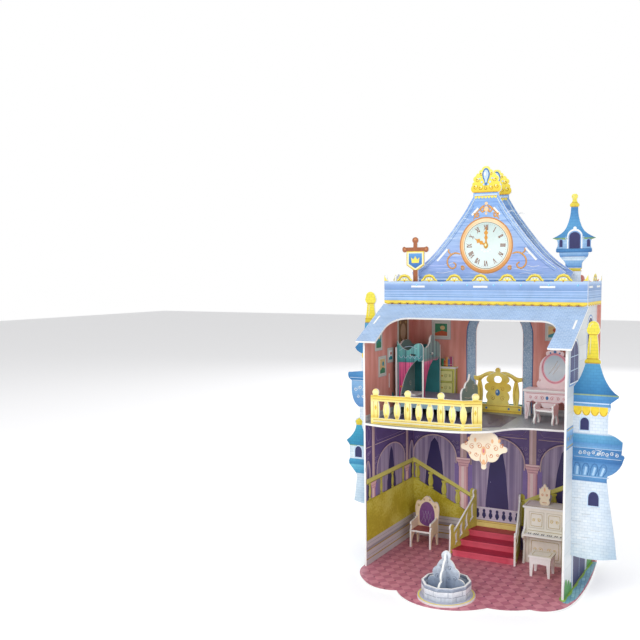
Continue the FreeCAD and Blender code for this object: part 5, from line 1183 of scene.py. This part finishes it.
posts = [railing["firstPost"] + railing["pitch"] * k for k in range(3)]
turned = [p + railing["pitch"] / 3 * k for p in posts for k in (1, 2)][:5]
for where, places, others, long in (("railLong", posts, turned, railing["long"]), ("railShort", [12.0], [],
        railing["short"])):
    pen(where, 0, amber, 0.45, straight((0.6, 160.8), (long - 0.6, 160.8)), straight((0.6, 157.4),
            (long - 0.6, 157.4)),
        straight((0.6, 182.2), (long - 0.6, 182.2)))
    pen(where, 0, whiteInk, 0.8, straight((0.8, 159.2), (long - 0.8, 159.2)))
    for p in places:
        pen(where, 1, amber, 0.4, straight((p - 1.9, 163), (p - 2.2, 180)), straight((p + 1.9, 163), (p + 2.2, 180)),
            straight((p - 2.4, 185.6), (p + 2.4, 185.6)))
        lay(where, 1, gold, [(p, 176.5), (p + 1.3, 173.5), (p, 170.5), (p - 1.3, 173.5)])
        lay(where, 1, paleYellow, disc(p - 0.5, 189.0, 0.8, 1.0, 12))
    for p in others:
        pen(where, 1, amber, 0.4, *[straight((p - 1.2, z), (p + 1.2, z)) for z in (164.6, 166.0, 178.4, 179.6)])
        pen(where, 1, whiteInk, 0.6, straight((p - 0.5, 167.6), (p - 0.5, 176.6)))

sillPaint = banded("printed gold window railing", 2, [(154, "#d9b43a"), (160, "#f2d962"), (168, "#f7e47c"),
        (190, "#eccb4c"),
                                                      (200, "#f8e780"), (206.5, "#e0bd40")], mottle=0.10)
dress("window_balustrade", [(-toBack, sillPaint), (toBack, sillPaint)])
w = "window_balustrade"
pen(w, 0, amber, 0.55, straight((-27, 158.2), (27, 158.2)), straight((-27, 163.6), (27, 163.6)),
    *both(0, scroll(5.6, 172.0, 3.0, 0.4, 1, 1.3), scroll(5.4, 182.6, 2.8, 2.6, -1, 1.2), scroll(20.8, 192.6, 1.8,
    1.0, 1, 1.2),
          [(10.6, 198.6, 0.6), (14.6, 196.8), (18.4, 194.4), (21.6, 190.2, 0.6)], [(20.6, 166.4), (19.6, 177),
          (21.4, 188)]))
lay(w, 1, deepBlue, disc(0, 178.6, 2.6, 3.6, 20), *both(0, disc(13.0, 160.9, 1.3, count=14),
        disc(25.0, 160.9, 1.3, count=14)))
lay(w, 2, paleBlue, disc(-0.6, 179.6, 0.9, 1.4, 12))
pen(w, 1, whiteInk, 0.6, *both(0, [(2.6, 201.4, 0.5), (6.0, 199.8), (9.4, 198.2, 0.5)]))
printAll("railings")

stairInk = ink("printed lime stair side", "#d9d266", 0.16, 6.0)
for side, label in ((-1, "stair_side_left"), (1, "stair_side_right")):
    along = Vector((side * math.sin(math.radians(12)), -math.cos(math.radians(12)), 0))
    inwards = Vector((-side * math.cos(math.radians(12)), -math.sin(math.radians(12)), 0))
    dress(label, [(inwards, stairInk), (-inwards, stairInk)])
    corner = Vector((side * 24.99, 58, 0))
    setBoard(label, corner, along, toTop, inwards)
    setBoard(label + "_out", corner - inwards * 2, along, toTop, -inwards)
    for where in (label, label + "_out"):
        pen(where, 0, limeShade, 0.5, straight((6.4, 54.4), (46.0, 24.0)), straight((1.4, 33.8), (46.0, 9.4)),
            straight((1.4, 57.6), (5.4, 57.6)), straight((47.6, 28.8), (52.0, 28.8)), straight((47.8, 9.0),
            (52.4, 9.0)))
        pen(where, 0, railLime, 1.3, straight((6.6, 56.2), (46.0, 26.0)), straight((1.6, 31.6), (45.0, 7.6)))
        lay(where, 0, balusterShine, box(2.0, 36, 3.2, 56), box(49.0, 10.4, 50.2, 27.4))
printAll("stairs")
carpetRed = banded("printed crimson carpet", 0, [(-36, "#c4405c"), (-30, "#a8243f"), (0, "#b02c48"),
        (30, "#a8243f"), (36, "#c4405c")])
riserRose = banded("printed rose carpet", 0, [(-35, "#e8788a"), (-28, "#d9556a"), (0, "#dd5f73"), (28, "#d9556a"),
        (35, "#e8788a")])
dress("stair_treads", [(toTop, carpetRed), (-toBack, riserRose)])
dress("stair_risers", [(-toBack, riserRose)])

# Chandelier, fountain and music corner

warmCream = ink("printed warm cream", "#f6e6cb", 0.06, 5.0)
orange = ink("printed orange line", "#e08a4e", 0.08, 5.0)
softOrange = ink("printed soft orange", "#f0bb8a", 0.08, 5.0)
dress("chandelier", [(-toBack, warmCream), (toBack, warmCream)])
x = (boardLow["chandelier"].x + boardHigh["chandelier"].x) / 2
for w in ("chandelier", "chandelier_rear"):
    pen(w, 0, orange, 0.7, *both(x, scroll(x + 4.6, 138.6, 3.4, 0.4, 1, 1.3),
            scroll(x + 12.4, 137.4, 3.2, 2.4, -1, 1.3),
        scroll(x + 19.0, 140.0, 2.2, 1.0, 1, 1.2), scroll(x + 7.8, 129.8, 2.6, 3.0, 1, 1.2), scroll(x + 14.4, 130.8,
        1.8, 1.0, -1, 1.1),
        [(x + 1.0, 120.0, 0.6), (x + 3.6, 124.4), (x + 3.0, 130.4, 0.6)]))
    lay(w, 1, softOrange, disc(x, 134.0, 2.4, 4.6, 20), disc(x, 122.6, 1.6, 2.6, 16), *both(x,
            disc(x + 9.0, 144.4, 1.3, 2.2, 14),
        disc(x + 16.0, 145.0, 1.1, 1.9, 14)))
    lay(w, 2, rose, disc(x, 134.0, 1.1, 2.4, 14))
printAll("lights")

basinStone = stone("printed basin blocks", "#e3e7ef", "#cfd6e4", "#8d97ab", (math.pi / 2, 0, 0))
basinPaint = banded("printed basin", 2, [(4, "#aab4c6"), (7.6, "#c9d1df"), (12, "#dfe4ee"), (14.6, "#eef1f6"),
        (14.9, "#8f9bb0"),
                                         (18, "#b9c2d2")], mottle=0.16, grain=4.0)
dress("fountain_basin", [((math.cos(math.radians(36 * k)), math.sin(math.radians(36 * k)), 0),
        basinPaint) for k in range(10)])
statuePaint = banded("printed statue stone", 2, [(4, "#8794ab"), (18, "#aab6c9"), (30, "#c9d2df"), (47, "#e3e8ef")],
        mottle=0.22, grain=3.4)
dress("fountain_statue_wide", [(-toBack, statuePaint), (toBack, statuePaint)])
dress("fountain_statue_deep", [(toRight, statuePaint), (-toRight, statuePaint)])
fx, fy = 2.4, -97.5
setBoard("plate", (fx, fy, 4), toRight, toBack, toTop)
dress("fountain_plate", [(toTop, ink("printed plate grey", "#c9c6d6", 0.10, 6.0))])
lay("plate", 0, yellow, disc(0, 0, 27.4, count=64), disc(0, 0, 26.0, count=64))
lay("plate", 0, greyInk, disc(0, 0, 25.6, count=64), disc(0, 0, 24.9, count=64))
lay("plate", 0, ink("printed fountain water", "#9fcbe6", 0.2, 3.0), disc(0, 0, 20.2, count=40))
pen("plate", 1, whiteInk, 0.5, *[scroll(12 * math.cos(k * 1.26 + 0.6), 12 * math.sin(k * 1.26 + 0.6), 3.0, k, 1,
        1.1) for k in range(5)])
setBoard("statue", (0, -98.5, 0), toRight, toTop, -toBack)
greyLine = ink("printed stone line", "#76839b", 0.06, 5.0)
pen("statue", 0, greyLine, 0.6, *both(fx, scroll(fx + 4.0, 30.4, 2.6, 0.4, 1, 1.2),
        scroll(fx + 9.0, 21.0, 2.6, 2.6, -1, 1.2),
    scroll(fx + 3.6, 20.0, 2.0, 1.0, 1, 1.1), [(fx + 1.0, 44.0, 0.5), (fx + 2.0, 38.0), (fx + 1.2, 34.0, 0.5)]))
setBoard("statueSide", (3.4, 0, 0), toBack, toTop, toRight)
pen("statueSide", 0, greyLine, 0.6, *both(fy, scroll(fy + 4.4, 30.4, 2.4, 0.4, 1, 1.2),
        scroll(fy + 10.0, 20.4, 2.6, 2.6, -1, 1.2)))
for k in range(10):
    a = math.radians(36 * k)
    out = Vector((math.cos(a), math.sin(a), 0))
    setBoard("basin%d" % k, Vector((fx, fy, 0)) + out * 22.83, (-out.y, out.x, 0), toTop, out)
    pen("basin%d" % k, 0, greyLine, 0.4, straight((-7.0, 9.4), (7.0, 9.4)), straight((-3.0, 5.0), (-3.0, 9.2)),
        straight((3.6, 9.6), (3.6, 14.4)), straight((-7.0, 14.7), (7.0, 14.7)), straight((-6.0, 16.4), (6.0, 16.4)))
printAll("fountain")

pianoWhite = ink("printed ivory case", "#f4f1e7", 0.05, 9.0)
pianoShade = ink("printed ivory shade", "#ddd8ca", 0.05, 9.0)
for label, faces in (("piano_ends", (toRight, -toRight)), ("piano_front", (-toBack, toBack)),
        ("piano_keyboard_shelf", (toTop, -toTop)), ("piano_lid", (toTop, -toTop)),
                     ("music_stool_legs", (toRight, -toRight)), ("music_stool_seat", (toTop, -toTop))):
    dress(label, [(face, pianoWhite) for face in faces])
w = "piano_front"
lay(w, 0, pianoShade, box(46.4, 40.4, 63.4, 58.6), box(65.6, 40.4, 82.6, 58.6), box(46.4, 5.0, 82.6, 30.4))
lay(w, 1, pianoWhite, box(47.4, 41.4, 62.4, 57.6), box(66.6, 41.4, 81.6, 57.6), box(47.6, 6.2, 81.4, 29.2))
pen(w, 2, goldLine, 0.45, *both(64.5, ("closed", straight((68.2, 43), (80, 43), (80, 56), (68.2, 56), (68.2, 43)))),
    straight((45.0, 37.8), (84.0, 37.8)), ("closed", straight((50, 8.6), (79, 8.6), (79, 26.8), (50, 26.8), (50,
    8.6))))
pen(w, 3, gold, 0.6, *both(64.5, scroll(71.4, 49.6, 2.3, 0.4, 1, 1.3), scroll(77.0, 49.4, 2.0, 2.6, -1, 1.3),
                           scroll(69.0, 17.6, 2.8, 0.4, 1, 1.3), scroll(75.0, 17.4, 2.3, 2.6, -1, 1.3)))
setBoard("keys", (0, 0, 35.4), toRight, toBack, toTop)
lay("keys", 0, whiteInk, box(45.4, 15.6, 83.6, 22.6))
lay("keys", 1, ink("printed black keys", "#33313a", 0.05), *[box(46.9 + 2.05 * k, 18.4, 48.0 + 2.05 * k, 22.6)
                                                             for k in range(18) if k % 7 not in (2, 6)])
pen("keys", 1, greyInk, 0.22, *[straight((46.4 + 2.05 * k, 15.7), (46.4 + 2.05 * k, 18.3)) for k in range(19)])
setBoard("lidTop", (0, 0, 64), toRight, toBack, toTop)
pen("lidTop", 0, goldLine, 0.5, ("closed", straight((43, 25), (86, 25), (86, 44.6), (43, 44.6), (43, 25))))
setBoard("pianoEnd", (87.5, 0, 0), toBack, toTop, toRight)
pen("pianoEnd", 0, goldLine, 0.5, straight((28, 8), (43, 8), (43, 57), (28, 57), (28, 8)))
setBoard("stoolTop", (0, 0, 24), toRight, toBack, toTop)
pen("stoolTop", 0, goldLine, 0.5, ("closed", straight((61.0, -10.4), (78.6, -10.4), (78.6, 1.6), (61.0, 1.6), (61.0,
        -10.4))))
printAll("music")
dress("candelabra", [(-toBack, warmCream), (toBack, warmCream)])
pen("candelabra", 0, orange, 0.6, *both(60.5, scroll(63.0, 74.6, 1.5, 0.4, 1, 1.2)), straight((58.0, 66.4),
        (63.0, 66.4)))
lay("candelabra", 1, softOrange, disc(60.5, 80.6, 0.9, 2.2, 14))
printAll("candles")

seatCream = ink("printed chair frame", "#f1ddc0", 0.06, 5.0)
plum = ink("printed plum cloth", "#7d4f8f", 0.14, 4.0)
dress("chair_back", [(-toBack, seatCream), (toBack, seatCream)])
dress("chair_seat", [(toTop, ink("printed russet seat", "#a4574f", 0.12, 5.0))])
dress("chair_sides", [(toRight, seatCream), (-toRight, seatCream)])
c = -76.5
lay("chair_back", 0, plum, ("smooth", [(c - 7.6, 25.0), (c + 7.6, 25.0), (c + 9.4, 33.0), (c + 8.6, 42.0), (c + 5.0,
        48.4),
                                       (c, 50.6), (c - 5.0, 48.4), (c - 8.6, 42.0), (c - 9.4, 33.0)]))
pen("chair_back", 1, lilacLine, 0.4, *[straight((c - 7.4 + 4.6 * k, 26.2), (c - 1.0 + 4.6 * k - 1.4 * k,
        40.2)) for k in range(3)],
    *[straight((c + 7.4 - 4.6 * k, 26.2), (c + 1.0 - 4.6 * k + 1.4 * k, 40.2)) for k in range(3)])
pen("chair_back", 1, goldLine, 0.6, *both(c, scroll(c + 10.4, 45.6, 1.7, 0.6, 1, 1.2),
        scroll(c + 3.4, 53.0, 1.4, 2.6, -1, 1.1)),
    straight((c - 12, 21.6), (c + 12, 21.6)))
printAll("chair")

# Bed, chest and dressing table


def foldedBands(name, stops, fold, axis):
    # printed cloth with folds whose colour changes at its valance
    mat, shader = newFinish(name)
    scale = [0.02, 0.02, 0.01]
    scale[axis] = 1 / fold
    folds = addNode(mat, "ShaderNodeTexNoise", {"Vector": turnedPlace(mat, scale=scale), "Scale": 1.0, "Detail": 2.0})
    ramp = addNode(mat, "ShaderNodeValToRGB", {"Fac": folds.outputs["Fac"]})
    fillRamp(ramp, [(0.36, "#b3a8b6"), (0.50, "#ebe6ec"), (0.62, "#ffffff")])
    return finishPaper(mat, shader, addNode(mat, "ShaderNodeMix", {0: 1.0, 6: rampAlong(mat, 2, stops),
            7: ramp.outputs["Color"]},
            data_type="RGBA", blend_type="MULTIPLY").outputs[2], 0.05, 8.0)


# dark teal on the canopy's inner faces and the back canopy: teal cloth darkened with painted shade inside the bed
tealCanopyShade = ink("printed dark teal", "#2f7f84", 0.12, 6.0)
tealGrey = ink("printed grey teal", "#7f9c9a", 0.10, 6.0)
canopyStops = [(156, "#b52e6c"), (176, "#e04e8d"), (213.6, "#ee6fa2"), (214.0, "#3f8f93"), (219, "#5db4b4"), (236,
        "#86ccc6")]
dress("canopy_front", [(-toBack, foldedBands("printed pink bed drape", canopyStops, 2.2, 0)), (toBack, tealCanopyShade)])
endStops = [(176, "#c83f7b"), (210, "#e0598f"), (214.6, "#f18bb2"), (215.0, "#6fa8a8"), (226, "#8fbab6"), (242,
        "#a9cdc6")]
dress("canopy_end", [(toRight, foldedBands("printed grey teal valance", endStops, 2.6, 1)), (-toRight, tealCanopyShade)])
dress("canopy_back", [(-toBack, tealCanopyShade), (toBack, tealCanopyShade)])
dress("bed_headboard", [(toRight, tealGrey), (-toRight, tealGrey)])
dress("bed_footboard", [(toRight, tealGrey), (-toRight, tealGrey)])
dress("bed_sides", [(-toBack, ink("printed pale blue rail", "#a9d3e4", 0.08, 6.0)), (toBack, whiteInk)])
dress("mattress", [(toTop, ink("printed lilac quilt", "#8b7f95", 0.16, 4.0))])
dress("pillow", [(toTop, ink("printed blush pillow", "#f6dfe6", 0.08, 4.0))])
lay("canopy_front", 0, ink("printed teal post", "#3f9a9c", 0.08), box(-96.6, 157, -95.0, 232))
lay("canopy_front", 1, orange, disc(-92.0, 187.0, 1.6, 1.1, 14))
pen("canopy_front", 1, paleBlue, 0.6, *[[(-94.6 + 5.4 * k, 221.6, 0.6), (-92.0 + 5.4 * k, 218.6), (-89.4 + 5.4 * k,
        221.6, 0.6)] for k in range(5)],
    [(-94.0, 226.4, 0.6), (-87.0, 230.4), (-80.0, 231.4), (-73.0, 229.0, 0.6)])
pen("canopy_end", 0, rose, 0.7, *[[(4.6 + 5.6 * k, 217.6, 0.6), (7.2 + 5.6 * k, 214.6), (9.8 + 5.6 * k, 217.6,
        0.6)] for k in range(7)])
for where in ("bed_footboard", "bed_headboard"):
    pen(where, 0, cream, 0.6, scroll(14, 186, 3.4, 0.4, 1, 1.3), scroll(34, 186, 3.4, 2.7, -1, 1.3), [(6, 166),
            (24, 168.4), (42, 166)],
        [(8, 178), (24, 175.6), (40, 178)])
printAll("bed")

chestInk = ink("printed olive cabinet", "#cfd06a", 0.10, 6.0)
drawerInk = ink("printed drawer front", "#e4e39a", 0.06, 6.0)
oliveLine = ink("printed olive ornament", "#8d9440", 0.06, 6.0)
# the chest's sides are the front's olive made darker and its top made lighter: painted shade on the sides, painted
# light on the top
dress("chest_front", [(-toBack, chestInk)])
dress("chest_sides", [(toRight, ink("printed olive side", "#b9bd55", 0.08, 6.0)), (-toRight,
        ink("printed olive side", "#b9bd55"))])
dress("chest_top", [(toTop, ink("printed lime top", "#dfe06e", 0.06, 6.0))])
x = -64.75
w = "chest_front"
for z in (161.6, 175.2, 188.8):
    lay(w, 0, oliveLine, box(-77.6, z - 0.5, -51.9, z + 11.9))
    lay(w, 1, drawerInk, box(-77.0, z, -52.5, z + 11.3))
    pen(w, 2, oliveLine, 0.5, *both(x, scroll(x + 4.4, z + 5.6, 2.4, 0.4, 1, 1.2),
            scroll(x + 9.4, z + 5.8, 1.8, 2.6, -1, 1.2)))
    lay(w, 2, amber, disc(x, z + 5.6, 1.0, count=14))
printAll("chest")
bookStripes = [(-67.4, "#3f8f6a"), (-64.5, "#3f8f6a"), (-64.3, "#c4523c"), (-62.3, "#c4523c"), (-62.1, "#e08a3c"),
        (-59.5, "#e9a04e"),
               (-59.3, "#5b6fb0"), (-57.1, "#6a7fc0"), (-56.9, "#a8486e"), (-53.8, "#b7557c")]
bookPaint = banded("printed book spines", 0, bookStripes, mottle=0.05)
dress("books", [(-toBack, bookPaint), (toBack, bookPaint)])
pen("books", 0, paleYellow, 0.35, straight((-67.0, 207.2), (-54.2, 207.2)), straight((-62.0, 213.4), (-59.6, 213.4)))
printAll("books")

blush = ink("printed blush white", "#fae9ec", 0.05, 6.0)
for label, faces in (("vanity_front", (-toBack, toBack)), ("vanity_sides", (toRight, -toRight)), ("vanity_top",
        (toTop, -toTop)), ("vanity_mirror", (-toBack, toBack)),
                     ("vanity_stool_seat", (toTop, -toTop))):
    dress(label, [(face, blush) for face in faces])
stoolTurn = math.radians(-8)
stoolSide = Vector((math.cos(stoolTurn), math.sin(stoolTurn), 0))
dress("vanity_stool_legs", [(stoolSide, blush), (-stoolSide, blush)])
w, x = "vanity_front", 61.8
pen(w, 0, rose, 0.55, straight((38.4, 183.6), (85.2, 183.6)), straight((38.4, 174.4), (85.2, 174.4)),
    *both(x, scroll(x + 5.4, 179.0, 2.4, 0.4, 1, 1.3), scroll(x + 11.6, 179.0, 2.1, 2.6, -1, 1.3), scroll(x + 18.0,
    179.2, 1.8, 0.6, 1, 1.2),
          [(x + 22.8, 172.0, 0.6), (x + 21.4, 166.0), (x + 22.6, 159.0, 0.6)]))
lay(w, 1, deepBlue, disc(x, 179.2, 1.5, 2.0, 16))
w, x = "vanity_mirror", 65.2
pinkFrame = ink("printed pink mirror frame", "#f3b4c3", 0.08, 5.0)
glass = banded("printed mirror glass", 2, [(192, "#c9dde9"), (208, "#dcecf4"), (224, "#b9d3e3")], mottle=0.05)
lay(w, 0, pinkFrame, disc(x, 209.0, 14.6, 16.6, 40), disc(x, 209.0, 12.0, 14.0, 40))
lay(w, 0, glass, disc(x, 209.0, 11.9, 13.9, 40))
pen(w, 1, whiteInk, 1.1, [(x - 6, 203, 0.5), (x - 1, 210), (x + 3, 217, 0.5)], [(x - 2.4, 202, 0.4),
        (x + 2.4, 208.6), (x + 5.6, 214, 0.4)])
pen(w, 1, rose, 0.5, ("closed", disc(x, 209.0, 13.4, 15.4, 24)), *both(x, scroll(x + 16.4, 195.6, 1.8, 0.4, 1, 1.2)))
lay(w, 1, deepBlue, disc(x, 226.6, 1.7, 1.5, 16), *both(x, disc(x + 5.0, 225.2, 0.9, count=12)))
printAll("vanity")
print("furniture finished")

# Outer walls

paneGlass = banded("printed window panes", 2, [(215, "#3c4a7c"), (240, "#35396f"), (272, "#2f3163")], mottle=0.2,
        grain=3.0)
leafGreen = ink("printed leaf green", "#5f9f5a", 0.25, 3.0)
for where in ("rightOut", "leftOut"):
    lay(where, 0, midBlue, arch(-53, -17, 204.6, 232.0, 18.0, 20), arch(14, 44, 214.6, 250.0, 18.0, 20))
    lay(where, 1, whiteInk, arch(-51.4, -18.6, 206.0, 232.0, 16.4, 20), arch(15.6, 42.4, 216.0, 250.0, 16.4, 20))
    lay(where, 2, paneGlass, arch(-49.8, -20.2, 207.4, 232.0, 14.8, 20), arch(17.2, 40.8, 217.4, 250.0, 14.8, 20))
    pen(where, 3, paleBlue, 0.8, straight((-35, 207.6), (-35, 246)), straight((-49.6, 232), (-20.4, 232)),
            straight((29, 217.6), (29, 264)),
        straight((17.4, 240), (40.6, 240)), straight((-49.6, 219), (-20.4, 219)), straight((17.4, 228), (40.6, 228)))
    lay(where, 0, banded("printed floor band", 2, [(146, "#4f87bd"), (149, "#8fb7de"), (156, "#6f9fd0"),
            (163, "#9cc2e6"), (166, "#4f87bd")]),
        box(-59.6, 146, 57.8, 166))
    pen(where, 1, gold, 0.8, *[scroll(-53 + 9.6 * k, 156, 2.7, 0.4 + k * 3.14, 1 if k % 2 else -1,
            1.3) for k in range(12)],
        straight((-59.2, 148), (57.4, 148)), straight((-59.2, 164), (57.4, 164)))
    lay(where, 0, midBlue, arch(-30, 30, 2.4, 84.0, 30.0, 24))
    lay(where, 1, whiteInk, arch(-28, 28, 2.4, 84.0, 28.0, 24))
    lay(where, 2, navy, arch(-25.6, 25.6, 2.4, 84.0, 25.6, 24))
    pen(where, 3, paleBlue, 0.9, straight((0, 3), (0, 108)), straight((-25.4, 84), (25.4, 84)),
            straight((-25.4, 44), (25.4, 44)))
    lay(where, 4, leafGreen, arch(-58, -48, 2.4, 11, 9), arch(-47.9, -38, 2.4, 8, 8), arch(-37.9, -31, 2.4, 5, 6),
        arch(33, 41, 2.4, 6, 7), arch(41.1, 49, 2.4, 8, 8), arch(49.1, 57, 2.4, 10, 8))
w = "backOut"
for axis in (-68, 68):
    lay(w, 0, midBlue, arch(axis - 21, axis + 21, 196, 246, 22.0, 22), arch(axis - 19, axis + 19, 24, 96, 20.0, 22))
    lay(w, 1, whiteInk, arch(axis - 19.2, axis + 19.2, 197.8, 246, 20.2, 22), arch(axis - 17.2, axis + 17.2, 25.8,
            96, 18.2, 22))
    lay(w, 2, paneGlass, arch(axis - 17.4, axis + 17.4, 199.6, 246, 18.4, 22))
    lay(w, 2, deepPurple, arch(axis - 15.4, axis + 15.4, 27.6, 96, 16.4, 22))
    pen(w, 3, paleBlue, 0.9, straight((axis, 200), (axis, 263)), straight((axis - 17, 226), (axis + 17, 226)),
            straight((axis, 28), (axis, 112)),
        straight((axis - 15, 70), (axis + 15, 70)), straight((axis - 15, 96), (axis + 15, 96)))
    lay(w, 3, leafGreen, *[arch(axis - 34 + 13.1 * k, axis - 21 + 13.1 * k, 2.4, 9 + 2 * (k % 2),
            7.5) for k in range(5)])
lay(w, 0, banded("printed rear floor band", 2, [(146, "#3f8f93"), (149, "#7fc0bd"), (156, "#63aeb0"),
        (163, "#8fccc6"), (166, "#3f8f93")]),
    box(-110, 146, 110, 166))
pen(w, 1, gold, 0.9, *[scroll(-102 + 12 * k, 156, 3.1, 0.4 + k * 3.14, 1 if k % 2 else -1, 1.3) for k in range(18)])
lay(w, 0, midBlue, arch(-30, 30, 2.4, 74, 30.0, 26), arch(-44, 44, 168, 244, 40.0, 26), arch(-28, 28, 168, 243,
        28.0, 26))
lay(w, 1, whiteInk, arch(-27, 27, 2.4, 74, 27.0, 26))
lay(w, 2, tealGrey, arch(-24, 24, 2.4, 74, 24.0, 26))
pen(w, 3, paleBlue, 1.0, straight((0, 3), (0, 97)), straight((-23, 74), (23, 74)), *both(0,
        scroll(11, 58, 5, 0.4, 1, 1.3), scroll(11, 34, 5, 2.4, -1, 1.3)))
lay(w, 3, amber, *both(0, disc(3.4, 42, 1.4, count=14)))
pen(w, 0, paleBlue, 1.0, straight((-109, 290), (109, 290)), straight((-109, 277), (109, 277)))
printAll("outer")
